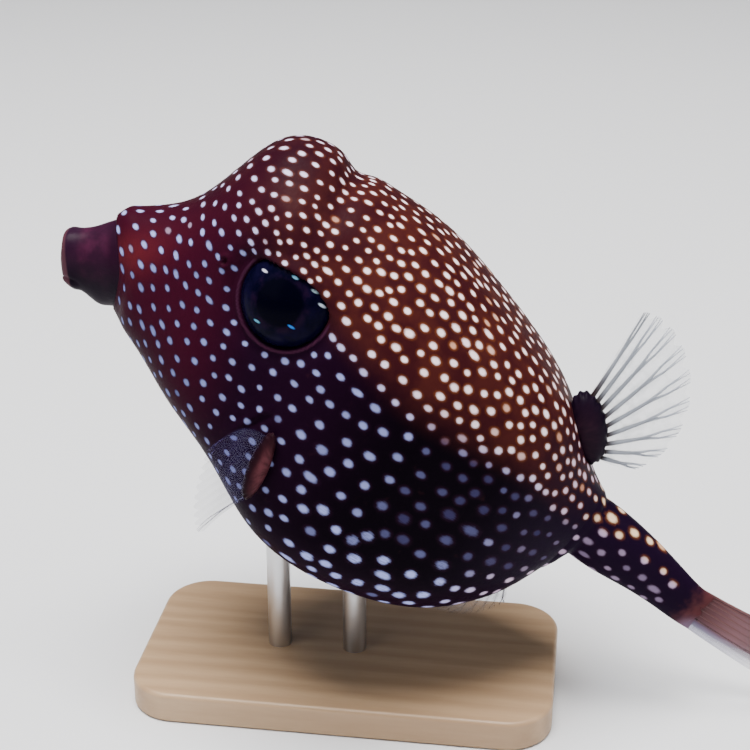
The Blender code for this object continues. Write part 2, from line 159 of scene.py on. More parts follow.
@dataclass
class Case:
    """The rigid bony case of head and trunk, by sections from the mouth to the tail."""

    sections: tuple = (
        (3.35, 1.11, 8.00, -7.98, 2.98, 2.3, 2.3),
        (5.58, 3.61, 9.66, -8.63, 4.38, 2.3, 2.5),
        (9.52, 8.15, 11.66, -9.06, 6.19, 2.2, 2.8),
        (12.63, 16.81, 14.59, -9.97, 8.30, 2.2, 3.1),
        (17.84, 19.71, 18.65, -11.23, 10.41, 2.3, 3.4),
        (24.10, 19.25, 24.80, -12.94, 12.51, 2.5, 3.7),
        (31.31, 18.76, 31.47, -15.94, 14.36, 2.8, 3.8),
        (39.03, 16.78, 38.91, -16.83, 14.64, 3.0, 3.8),
        (46.46, 14.30, 46.52, -16.16, 12.85, 3.0, 3.7),
        (52.53, 11.30, 52.69, -14.27, 10.15, 2.9, 3.4),
        (57.31, 7.46, 57.87, -10.78, 6.50, 2.6, 2.8),
        (61.01, 5.12, 60.39, -6.39, 3.64, 2.4, 2.4),
    )
    taper: float = 0.16
    brow_x: float = 18.5
    brow_angle: float = math.radians(56.0)
    brow_reach: float = 4.2
    brow_spread: float = math.radians(13.0)
    brow_height: float = 1.4
    nape_x: float = 21.0
    nape_length: float = 1.7
    nape_spread: float = math.radians(55.0)
    nape_dip: float = 0.9
    eye_section: float = 4.58
    eye_angle: float = math.radians(74.6)
    eye_radius: float = 4.8
    eye_depth: float = 3.2
    eye_sunk: float = 1.8
    eye_gap: float = 0.25
    orbit_dent: float = 0.6
    orbit_pit: float = 2.4
    rim_radius: float = 4.92
    rim_width: float = 0.26
    rim_height: float = 0.3
    lid_edge: float = 3.0
    lid_ridge: float = 0.35
    nostril_section: float = 3.36
    nostril_angle: float = math.radians(78.0)
    nostril_radius: float = 0.55
    nostril_lip: float = 0.22
    nostril_pit: float = 0.4
    gill_section: float = 5.15
    gill_angle: float = math.radians(113.0)
    gill_lip: float = 0.15
    gill_cut: float = 0.3

    def plain(self, section: Values, angle: Values) -> np.ndarray:
        """Points of the case before its orbits.

        Args:
            section: Section number, from 0 at the mouth.
            angle: Angle round the section, from 0 at the top, positive to the right.

        Returns:
            Points in millimetres, in the shape of section and angle together.
        """
        columns = (spline(column, section) for column in np.array(self.sections).T)
        top_x, top_z, bottom_x, bottom_z, half, crown, keel = columns
        cosine, sine = np.cos(angle), np.sin(angle)
        square = np.where(cosine > 0.0, crown, keel)
        reach = (np.abs(cosine) ** square + np.abs(sine) ** square) ** (-1.0 / square)
        up, out = reach * cosine, reach * sine
        half_x, half_z = (top_x - bottom_x) / 2.0, (top_z - bottom_z) / 2.0
        height = np.hypot(half_x, half_z)
        taper = self.taper * smoothstep(0.0, 5.0, section) * (1.0 - smoothstep(9.0, 11.0, section))
        side = half * out * (1.0 - taper * up)
        x = (top_x + bottom_x) / 2.0 + half_x * up
        z = (top_z + bottom_z) / 2.0 + half_z * up
        rise = up * height
        radius = np.hypot(rise, side) + 1e-9
        near = bell(x, self.brow_x, self.brow_reach)
        swell = self.brow_height * near * bell(np.abs(angle), self.brow_angle, self.brow_spread)
        round_top = np.exp(-(angle / self.nape_spread) ** 4)
        dip = self.nape_dip * bell(x, self.nape_x, self.nape_length) * round_top
        lift = swell * rise / radius - dip
        x = x + lift * half_x / height
        z = z + lift * half_z / height
        side = side + swell * side / radius
        return np.stack([x, side, z], axis=-1)

    def normals(self, section: Values, angle: Values) -> np.ndarray:
        """Outward unit normals at sections and angles."""
        step = 1e-3
        along = self.plain(section + step, angle) - self.plain(section - step, angle)
        around = self.plain(section, angle + step) - self.plain(section, angle - step)
        normal = np.cross(along, around)
        return normal / np.linalg.norm(normal, axis=-1, keepdims=True)

    def spot(self, section: float, angle: float, side: Side) -> Spot:
        """The place at a section and an angle on one side."""
        section, angle = np.array(section), np.array(angle * side.value)
        origin, out = self.plain(section, angle), self.normals(section, angle)
        along = self.plain(section + 0.01, angle) - origin
        along = along - np.dot(along, out) * out
        along = along / np.linalg.norm(along)
        return Spot(origin, along, np.cross(out, along) * -side.value, out)

    def eye(self, side: Side) -> Spot:
        """The place of one eye."""
        return self.spot(self.eye_section, self.eye_angle, side)

    def dome(self, radius: np.ndarray) -> np.ndarray:
        """Height of the eyeball over the case, by distance from the eye's middle."""
        inside = np.sqrt(np.clip(1.0 - (radius / self.eye_radius) ** 2, 0.0, 1.0))
        return self.eye_depth * inside - self.eye_sunk

    def lid_level(self, along: np.ndarray) -> np.ndarray:
        """How far above the eye's middle the edge of its lid lies."""
        return self.lid_edge + 0.12 * along - 0.07 * along * along

    def eye_relief(self, points: np.ndarray, side: Side) -> tuple:
        """How the skin lies round one eye.

        Args:
            points: Points of the case.
            side: The eye's side.

        Returns:
            Height over the case, and a mask of the bare rim.
        """
        along, up, out = self.eye(side).local(points)
        radius = np.hypot(along, up)
        near = (np.abs(out) < 9.0) * (radius < 12.0)
        draped = soft_max(self.dome(radius) + self.eye_gap, np.zeros_like(radius), 0.8)
        ridge = self.lid_ridge * bell(up, self.lid_edge + 0.9, 1.2) * bell(along, 0.0, 4.6)
        closed = (draped + ridge) * (1.0 - smoothstep(7.0, 10.0, radius))
        rim = bell(radius, self.rim_radius, self.rim_width)
        dent = -self.orbit_dent * (1.0 - smoothstep(4.8, 7.0, radius))
        pit = -self.orbit_pit * (1.0 - smoothstep(4.1, 4.62, radius))
        opened = dent + self.rim_height * rim + pit
        level = self.lid_level(along)
        width = 0.14 + 1.3 * smoothstep(3.4, 6.0, np.abs(along))
        lid = smoothstep(level - width, level + width, up) * smoothstep(0.0, 1.5, up)
        return near * (opened + (closed - opened) * lid), near * rim * (1.0 - lid)

    def shaped(self, section: np.ndarray, angle: np.ndarray) -> tuple:
        """Points of the skin over the case.

        Returns:
            Points, and the mask of the bare rims of eyes and nostrils.
        """
        section, angle = np.broadcast_arrays(section, angle)
        points, normals = self.plain(section, angle), self.normals(section, angle)
        height, bare = np.zeros(section.shape), np.zeros(section.shape)
        for side in Side:
            relief, rim = self.eye_relief(points, side)
            height, bare = height + relief, bare + rim
            along, up, out = self.spot(self.nostril_section, self.nostril_angle, side).local(points)
            reach = np.hypot(along * 1.25, up) + 20.0 * (np.abs(out) > 4.0)
            edge = bell(reach, self.nostril_radius, 0.22)
            height = height + self.nostril_lip * edge - self.nostril_pit * bell(reach, 0.0, 0.32)
            bare = bare + 0.6 * edge
            along, up, out = self.spot(self.gill_section, self.gill_angle, side).local(points)
            line = along - 0.05 * up * up
            fade = (1.0 - smoothstep(2.2, 3.2, np.abs(up))) * (np.abs(out) < 4.0)
            slit = self.gill_lip * bell(line, -0.55, 0.4) - self.gill_cut * bell(line, 0.0, 0.24)
            height = height + fade * slit
        return points + normals * height[..., None], np.clip(bare, 0.0, 1.0)


CASE = Case()
CASE_FRONT = 2.6


def ride(item: bpy.types.Object, slot: str, *nodes: str) -> bpy.types.Object:
    """Let a piece ride on the model and stand for CAD nodes.

    Args:
        item: The piece.
        slot: Not used.
        nodes: The CAD nodes that it stands for.

    Returns:
        The piece.
    """
    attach(item, BODY)
    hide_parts(*nodes)
    LOG.info("%s stands for %s", item.name, ", ".join(nodes))
    return item


def new_object(name: str, mesh: Mesh) -> bpy.types.Object:
    """Link a new object for a mesh."""
    item = bpy.data.objects.new(name, mesh)
    bpy.context.scene.collection.objects.link(item)
    return item


def new_mesh(name: str, points: np.ndarray, faces: list) -> Mesh:
    """Smooth mesh of fish-frame points in millimetres, placed in the row frame."""
    mesh = bpy.data.meshes.new(name)
    mesh.from_pydata(POSE.place(points), [], faces)
    mesh.shade_smooth()
    mesh.update()
    return mesh


def face_out(mesh: Mesh) -> None:
    """Turn a closed mesh's faces outward."""
    form = bmesh.new()
    form.from_mesh(mesh)
    bmesh.ops.recalc_face_normals(form, faces=form.faces)
    form.to_mesh(mesh)
    form.free()


def store(mesh: Mesh, domain: str = "POINT", **masks) -> None:
    """Write named attributes.

    Args:
        mesh: The mesh.
        domain: POINT, FACE or CORNER.
        masks: One value or one vector for each element, by name.
    """
    for name, values in masks.items():
        values = np.asarray(values, np.float32)
        kind, key = ("FLOAT", "value") if values.ndim == 1 else ("FLOAT_VECTOR", "vector")
        mesh.attributes.new(name, kind, domain).data.foreach_set(key, values.ravel())


def read(items: bpy.types.bpy_prop_collection, name: str, width: int = 1,
         kind: type = float) -> np.ndarray:
    """Values of one property of all items of a mesh."""
    values = np.empty(len(items) * width, kind)
    items.foreach_get(name, values)
    return values


def tube(name: str, points: np.ndarray, rings: int, outward: bool = True) -> Mesh:
    """Closed mesh of rings of points, with a UV map of its rings.

    Args:
        name: The mesh's name.
        points: The rings' points in turn, then one point for either end.
        rings: Number of rings.
        outward: Whether its faces are turned outward here.

    Returns:
        The mesh.
    """
    sides = (len(points) - 2) // rings
    first, last, end = rings * sides, rings * sides + 1, (rings - 1) * sides
    around = [(j, (j + 1) % sides, j / sides, (j + 1.0) / sides) for j in range(sides)]
    near, far = 1.0 / (rings + 1.0), rings / (rings + 1.0)
    faces, corners = [], []
    for i in range(rings - 1):
        low, high = i * sides, (i + 1) * sides
        u0, u1 = (i + 1.0) * near, (i + 2.0) * near
        for j, k, v0, v1 in around:
            faces.append((low + j, low + k, high + k, high + j))
            corners += [(u0, v0), (u0, v1), (u1, v1), (u1, v0)]
    for j, k, v0, v1 in around:
        faces += [(first, k, j), (last, end + j, end + k)]
        corners += [(0.0, (v0 + v1) / 2.0), (near, v1), (near, v0)]
        corners += [(1.0, (v0 + v1) / 2.0), (far, v0), (far, v1)]
    mesh = new_mesh(name, points, faces)
    mesh.uv_layers.new(name="OFBake").uv.foreach_set("vector", np.asarray(corners, np.float32).ravel())
    if outward:
        face_out(mesh)
    return mesh


def capped(rings: np.ndarray) -> np.ndarray:
    """Points of rings, then the middle of the first and of the last ring."""
    return np.concatenate([rings.reshape(-1, 3), [rings[0].mean(0), rings[-1].mean(0)]])


def ball(rings: int, sides: int, hand: float = 1.0) -> np.ndarray:
    """Points of a ball of radius 1, by rings round z, then its two ends.

    Args:
        rings: Number of rings.
        sides: Points in each ring.
        hand: 1 or -1, the way round.

    Returns:
        One row for each point.
    """
    tilt = np.pi * np.arange(1, rings + 1)[:, None] / (rings + 1.0)
    turn = 2.0 * np.pi * np.arange(sides)[None, :] / sides * hand
    flat = np.sin(tilt)
    local = np.stack([flat * np.cos(turn), flat * np.sin(turn), np.cos(tilt) + 0.0 * turn], axis=-1)
    return np.concatenate([local.reshape(-1, 3), [(0.0, 0.0, 1.0), (0.0, 0.0, -1.0)]])


class Nodes:
    """Adds nodes to a shader or geometry tree."""

    def __init__(self, tree: bpy.types.NodeTree) -> None:
        """Work on a tree."""
        self.tree = tree

    def feed(self, socket: Socket, value: Input) -> None:
        """Link a socket to an input, or set the input's value."""
        if isinstance(value, Socket):
            self.tree.links.new(value, socket)
        else:
            socket.default_value = (*value, 1.0) if socket.type == "RGBA" else value

    def add(self, kind: str, inputs: dict | None = None, **settings) -> bpy.types.Node:
        """Add a node.

        Args:
            kind: The node's type.
            inputs: Values or sockets for its inputs, by name or number.
            settings: Properties of the node.

        Returns:
            The node.
        """
        made = self.tree.nodes.new(kind)
        for name, value in settings.items():
            setattr(made, name, value)
        for name, value in (inputs or {}).items():
            self.feed(made.inputs[name], value)
        return made

    def mixed(self, share: Input, first: Input, second: Input) -> Socket:
        """Colour of two colours mixed by a share."""
        return self.add("ShaderNodeMix", {0: share, 6: first, 7: second}, data_type="RGBA").outputs[2]

    def maths(self, operation: str, first: Input, second: Input, clamp: bool = False) -> Socket:
        """Value of a sum on two values."""
        made = self.add("ShaderNodeMath", {0: first, 1: second}, operation=operation, use_clamp=clamp)
        return made.outputs[0]

    def times(self, first: Input, second: Input, clamp: bool = False) -> Socket:
        """One value times another."""
        return self.maths("MULTIPLY", first, second, clamp)

    def plus(self, first: Input, second: Input) -> Socket:
        """One value plus another."""
        return self.maths("ADD", first, second)

    def minus(self, first: Input, second: Input) -> Socket:
        """One value less another."""
        return self.maths("SUBTRACT", first, second)

    def swing(self, value: Input, strength: float) -> Socket:
        """A value round one half, as a swing round zero."""
        return self.times(self.minus(value, 0.5), strength)

    def eased(self, value: Input, low: float, high: float, to_low: float = 0.0,
              to_high: float = 1.0) -> Socket:
        """Value that eases between two values as another runs from low to high."""
        span = {0: value, 1: low, 2: high, 3: to_low, 4: to_high}
        return self.add("ShaderNodeMapRange", span, interpolation_type="SMOOTHSTEP").outputs[0]

    def vector(self, operation: str, *vectors: Input) -> Socket:
        """Vector of a sum on vectors, or the length of one."""
        made = self.add("ShaderNodeVectorMath", dict(enumerate(vectors)), operation=operation)
        return made.outputs["Value" if operation == "LENGTH" else "Vector"]

    def mask(self, name: str, output: str = "Fac") -> Socket:
        """Value or vector of a mesh's attribute."""
        return self.add("ShaderNodeAttribute", attribute_name=name).outputs[output]

    def where(self, scale: tuple = (1.0, 1.0, 1.0)) -> Socket:
        """Object coordinates in metres, scaled."""
        place = self.add("ShaderNodeTexCoord").outputs["Object"]
        return self.add("ShaderNodeMapping", {"Vector": place, "Scale": scale}).outputs[0]

    def noise(self, scale: Input, detail: float, rough: float = 0.5,
              where: Socket | None = None) -> Socket:
        """Value of noise on object coordinates, at a scale per metre."""
        inputs = {"Vector": where or self.where(), "Scale": scale, "Detail": detail, "Roughness": rough}
        return self.add("ShaderNodeTexNoise", inputs).outputs["Fac"]

    def grain(self, fine: float, slow: float) -> tuple:
        """Height and mottle of the shared fine grain, at two scales."""
        made = self.add("ShaderNodeGroup", {0: fine, 1: slow}, node_tree=grain_group())
        return made.outputs["Height"], made.outputs["Mottle"]


class Paint(Nodes):
    """One material, with its Principled shader."""

    def __init__(self, name: str) -> None:
        """Start a material."""
        self.material = bpy.data.materials.new(name)
        self.material.use_nodes = True
        super().__init__(self.material.node_tree)
        self.shader = self.tree.nodes["Principled BSDF"]

    def done(self, colour: Input, rough: Input, gloss: float = 0.5, alpha: Input = 1.0, metal: float = 0.0,
             relief: tuple | None = None) -> Material:
        """Feed the shader.

        Args:
            colour: Base colour.
            rough: Roughness.
            gloss: How strongly the surface mirrors; 0.5 is the shader's own.
            alpha: Cover, from clear at 0 to solid at 1.
            metal: 1 for metal.
            relief: Height, strength and depth in metres of the fine relief.

        Returns:
            The material.
        """
        inputs = {"Base Color": colour, "Roughness": rough, "Specular IOR Level": gloss,
                  "Alpha": alpha, "Metallic": metal}
        if relief:
            bump = dict(zip(("Height", "Strength", "Distance"), relief))
            inputs["Normal"] = self.add("ShaderNodeBump", bump).outputs["Normal"]
        for name, value in inputs.items():
            self.feed(self.shader.inputs[name], value)
        return self.material


def new_group(name: str, kind: str, inputs: dict, outputs: dict) -> tuple:
    """A node group with its named sockets.

    Args:
        name: The group's name.
        kind: The type of its tree.
        inputs: Socket types of its inputs, by name.
        outputs: Socket types of its outputs, by name.

    Returns:
        Its nodes, the inputs as sockets to read, and the outputs as sockets to feed.
    """
    tree = bpy.data.node_groups.new(name, kind)
    for flow, sockets in (("INPUT", inputs), ("OUTPUT", outputs)):
        for label, socket in sockets.items():
            tree.interface.new_socket(label, in_out=flow, socket_type=socket)
    inlet, outlet = tree.nodes.new("NodeGroupInput"), tree.nodes.new("NodeGroupOutput")
    return Nodes(tree), inlet.outputs, outlet.inputs


@functools.cache
def grain_group() -> bpy.types.NodeTree:
    """Shared fine grain: two sizes of noise as a height, and a slow mottle as a mask."""
    value = "NodeSocketFloat"
    scales, heights = {"Grain Scale": value, "Mottle Scale": value}, {"Height": value, "Mottle": value}
    nodes, given, made = new_group("fine_grain", "ShaderNodeTree", scales, heights)
    where = nodes.where()
    nodes.feed(made[0], nodes.noise(given[0], 4.0, 0.6, where))
    nodes.feed(made[1], nodes.eased(nodes.noise(given[1], 3.0, 0.55, where), 0.38, 0.64))
    return nodes.tree


@dataclass(frozen=True)
class SkinFinish:
    """Dark brown spotted skin, by its masks and its spots, with painted light on the back and snout and
    painted shade down the flank.
    """

    # Ground colours: the skin's dark brown, with painted light from above on the back and painted shade
    # making the flank near-black.
    flank: tuple = (0.0018, 0.0004, 0.0024)
    belly: tuple = (0.0078, 0.0013, 0.0078)
    back: tuple = (0.0300, 0.0052, 0.0070)
    back_lit: tuple = (0.0620, 0.0135, 0.0095)
    snout: tuple = (0.0285, 0.0024, 0.0098)
    # Painted light: the lighter red of a patch high on the snout's side.
    snout_lit: tuple = (0.0780, 0.0090, 0.0145)
    # Halos: painted light, bright orange on the lit back and dark on the shaded side.
    halo_back: tuple = (0.2000, 0.0560, 0.0120)
    halo_side: tuple = (0.0220, 0.0060, 0.0200)
    rim: tuple = (0.038, 0.0095, 0.026)
    stalk: tuple = (0.0075, 0.0024, 0.0120)
    tail_end: tuple = (0.0800, 0.0240, 0.0270)
    tail_low: tuple = (0.1700, 0.1150, 0.1700)
    # Spots: painted light, warm and bright on the lit back, blue and dimmer down the shaded side.
    spot_side_shaded_blue: tuple = (0.38, 0.43, 0.86)
    spot_lit_warm: tuple = (1.0, 0.82, 0.88)
    spot_front: tuple = (0.28, 0.34, 0.74)
    spot_rear: tuple = (0.66, 0.50, 0.66)
    spot_stalk: tuple = (0.80, 0.56, 0.80)
    spot_stalk_back: tuple = (0.88, 0.64, 0.42)
    # Colours that spots are dimmed toward: for a few at random, and for painted shade down the flank.
    dull_and_shade_side: tuple = (0.030, 0.026, 0.075)
    dull_and_shade_back: tuple = (0.42, 0.17, 0.07)
    spot_reach: tuple = (1.28, 0.54)
    halo_reach: tuple = (1.95, 0.85)
    halo_share: float = 0.5
    wobble: float = 0.45
    grain: tuple = (2600.0, 300.0)
    rough: tuple = (0.36, 0.50)
    gloss: float = 0.015
    relief: tuple = (0.4, 0.0001)

    def ground(self, paint: Paint, mottle: Socket, back: Socket, snout: Socket,
               stalk: Socket) -> Socket:
        """Colour between the spots, from the masks of the regions."""
        # Painted light and shade: the flank darkest, the belly and front a little lighter, the back lit from
        # above with lighter orange mottled at random.
        base = paint.mixed(paint.mask("belly"), self.flank, self.belly)
        base = paint.mixed(back, base, paint.mixed(paint.times(mottle, 0.5), self.back, self.back_lit))
        # Painted light: a lighter red patch high on the snout's side, where light from above falls.
        base = paint.mixed(snout, base, paint.mixed(paint.mask("snout_light_patch"), self.snout, self.snout_lit))
        base = paint.mixed(stalk, base, self.stalk)
        end = paint.plus(paint.mask("tail_end"), paint.swing(paint.noise(900.0, 2.0), 1.0))
        base = paint.mixed(paint.eased(end, 0.15, 1.0), base, self.tail_end)
        return paint.mixed(paint.mask("tail_low"), base, self.tail_low)

    def white(self, paint: Paint, lined: Socket, back: Socket, snout: Socket,
              stalk: Socket) -> Socket:
        """Colour of the spots, with the mask of the lines in the largest."""
        # Painted light: spots on the back warm and bright, spots down the side blue and dimmer.
        white = paint.mixed(back, self.spot_side_shaded_blue, self.spot_lit_warm)
        white = paint.mixed(snout, white, self.spot_front)
        white = paint.mixed(paint.eased(stalk, 0.0, 0.8), white, self.spot_rear)
        end = paint.mixed(back, self.spot_stalk, self.spot_stalk_back)
        white = paint.mixed(paint.eased(stalk, 0.93, 1.0), white, end)
        # The spots' tone dims them: at random for a few, and by painted shade down the flank.
        dull_and_shade = paint.mixed(back, self.dull_and_shade_side, self.dull_and_shade_back)
        white = paint.mixed(paint.mask("spot_tone"), white, dull_and_shade)
        return paint.mixed(lined, white, self.dull_and_shade_side)

    def streaks(self, paint: Paint, where: Socket) -> Socket:
        """Fine streaks along each spot's length, from its own coordinates."""
        scaled = paint.vector("MULTIPLY", where, (0.55, 3.4, 1.0))
        own = paint.add("ShaderNodeCombineXYZ", {"Z": paint.times(paint.mask("spot_tone"), 90.0)})
        return paint.noise(1.0, 2.0, 0.5, paint.vector("ADD", scaled, own.outputs[0]))

    def build(self) -> Material:
        """The skin's material."""
        paint = Paint("spotted_skin")
        back, snout, stalk, big = (paint.mask(name) for name in ("back", "snout", "stalk", "spot_big"))
        where = paint.mask("spot", "Vector")
        height, mottle = paint.grain(*self.grain)
        streak = self.streaks(paint, where)
        frayed = paint.times(paint.minus(streak, 0.5), paint.plus(paint.times(big, 0.9), 0.25))
        wobble = paint.plus(paint.swing(paint.noise(1500.0, 2.0), self.wobble), frayed)
        reach = paint.plus(paint.vector("LENGTH", where), wobble)
        # Painted light: halos bright orange on the lit back, dark purple on the shaded side.
        halo = paint.mixed(paint.times(back, paint.minus(1.0, snout)), self.halo_side, self.halo_back)
        shown = paint.mixed(paint.times(paint.eased(reach, *self.halo_reach), self.halo_share),
                            self.ground(paint, mottle, back, snout, stalk), halo)
        inside = paint.eased(reach, *self.spot_reach)
        lined = paint.times(paint.eased(streak, 0.50, 0.34), paint.times(big, 0.7))
        shown = paint.mixed(inside, shown, self.white(paint, lined, back, snout, stalk))
        shown = paint.mixed(paint.eased(paint.mask("bare"), 0.45, 1.0), shown, self.rim)
        rough = paint.eased(height, 0.3, 0.7, *self.rough)
        height = paint.plus(paint.times(inside, 0.7), paint.times(height, 0.5))
        return paint.done(shown, rough, self.gloss, relief=(height, *self.relief))


@dataclass
class SpotPlan:
    """Where the white spots go on the skin, and how large they are."""

    count_limit: int = 3200
    candidates: int = 42000
    stretch: float = 1.3
    long_share: float = 0.035
    long_stretch: float = 1.9
    dull_share: float = 0.045
    packing: float = 0.70
    relax: int = 4
    turns: tuple = (0.0, 40.0, 60.0, 80.0, 100.0, 120.0, 180.0)
    spacings: tuple = (
        (8.0, 2.10, 2.05, 2.10, 2.10, 2.10, 2.10, 2.10),
        (13.0, 2.10, 2.05, 1.87, 2.00, 2.00, 1.90, 2.00),
        (17.0, 1.90, 1.61, 1.41, 1.55, 1.91, 2.00, 2.10),
        (22.0, 1.55, 1.58, 1.29, 1.70, 2.00, 2.10, 2.20),
        (30.0, 1.80, 1.70, 1.85, 2.40, 2.39, 2.25, 2.30),
        (41.0, 1.95, 1.71, 1.95, 2.43, 2.72, 2.84, 2.70),
        (51.0, 2.00, 1.80, 1.95, 2.60, 2.87, 2.98, 2.80),
        (59.0, 1.80, 1.66, 2.00, 2.30, 2.40, 2.40, 2.40),
        (62.5, 2.20, 2.20, 2.20, 2.20, 2.20, 2.20, 2.20),
        (65.0, 2.70, 2.60, 2.30, 2.20, 2.20, 2.30, 2.30),
    )

    def spacing(self, x: np.ndarray, angle: np.ndarray) -> np.ndarray:
        """Distance between neighbouring spots in millimetres, by place."""
        rows = np.array(self.spacings)
        at = np.interp(x, rows[:, 0], np.arange(len(rows)))
        low = np.clip(np.floor(at).astype(int), 0, len(rows) - 2)
        share, turn = at - low, np.degrees(np.abs(angle))
        column = np.interp(turn, self.turns, np.arange(len(self.turns)))
        column = np.clip(column, 0.0, len(self.turns) - 1.001)
        first = np.floor(column).astype(int)
        part, table = column - first, rows[:, 1:]
        front = table[low, first] * (1.0 - part) + table[low, first + 1] * part
        behind = table[low + 1, first] * (1.0 - part) + table[low + 1, first + 1] * part
        return front * (1.0 - share) + behind * share

    def radius(self, x: np.ndarray, angle: np.ndarray) -> np.ndarray:
        """Half width of a spot in millimetres, by place."""
        gap, turn = self.spacing(x, angle), np.degrees(np.abs(angle))
        back = 0.05 * (1.0 - smoothstep(60.0, 90.0, turn)) * smoothstep(24.0, 34.0, x)
        size = 0.24 + 0.05 * smoothstep(1.35, 2.1, gap) + 0.19 * smoothstep(2.1, 2.8, gap) + back
        stalk = 0.36 + 0.06 * (1.0 - smoothstep(30.0, 70.0, turn))
        return between(size, stalk, smoothstep(61.0, 62.5, x))

    def shade(self, x: np.ndarray, angle: np.ndarray) -> np.ndarray:
        """Painted shade that dims the spots: deepest in the middle of the rear flank, fainter down the sides
        elsewhere except under the rear of the case, and on the lower side of the tail stalk.
        """
        turn = np.degrees(np.abs(angle))
        rear = smoothstep(35.0, 43.0, x) * (1.0 - smoothstep(59.0, 62.0, x))
        deep = 0.90 * rear * smoothstep(58.0, 68.0, turn) * (1.0 - smoothstep(104.0, 116.0, turn))
        lower = 1.0 - smoothstep(104.0, 118.0, turn) * smoothstep(30.0, 38.0, x)
        lower = 0.44 * smoothstep(60.0, 80.0, turn) * lower
        tail = 0.7 * smoothstep(61.0, 62.5, x) * smoothstep(45.0, 80.0, turn)
        return np.maximum(deep, lower * (1.0 - rear)) * (x < 61.5) + tail

    def scatter(self, points: np.ndarray, x: np.ndarray, angle: np.ndarray,
                area: np.ndarray) -> np.ndarray:
        """Choose evenly spread spots among a surface's points.

        Args:
            points: Points of the skin, one row each.
            x: Place of each along the fish.
            angle: Angle of each round the fish.
            area: Share of the surface at each point, 0 where no spot may be.

        Returns:
            Numbers of the chosen points.
        """
        draw = np.random.default_rng(SEED)
        weight = area / self.spacing(x, angle) ** 2
        count = min(self.candidates, int((weight > 0.0).sum()))
        pool = draw.choice(len(points), count, replace=False, p=weight / weight.sum())
        spots, gap = points[pool].astype(np.float32), self.spacing(x[pool], angle[pool])
        pull = (1.0 / gap ** 2)[:, None]
        gap = gap * draw.uniform(0.93, 1.09, len(pool))
        nearest = np.full(len(pool), 1e9)
        chosen, pick = [], 0
        while len(chosen) < self.count_limit:
            chosen.append(pick)
            distance = np.sqrt(((spots - spots[pick]) ** 2).sum(1)) / gap
            nearest = np.minimum(nearest, distance)
            pick = int(nearest.argmax())
            if nearest[pick] < self.packing:
                break
        for _ in range(self.relax):
            owner = nearest_rows(spots, spots[chosen])
            for number in range(len(chosen)):
                mine = np.flatnonzero(owner == number)
                if len(mine):
                    middle = (spots[mine] * pull[mine]).sum(0) / pull[mine].sum()
                    chosen[number] = mine[((spots[mine] - middle) ** 2).sum(1).argmin()]
        return pool[np.array(sorted(set(chosen)))]


def nearest_rows(points: np.ndarray, targets: np.ndarray) -> np.ndarray:
    """Number of the target nearest to each point, worked out in batches."""
    targets = targets.astype(np.float32)
    square = (targets ** 2).sum(1)
    found = np.empty(len(points), int)
    for start in range(0, len(points), 8000):
        block = points[start:start + 8000].astype(np.float32)
        found[start:start + 8000] = (square - 2.0 * block @ targets.T).argmin(1)
    return found


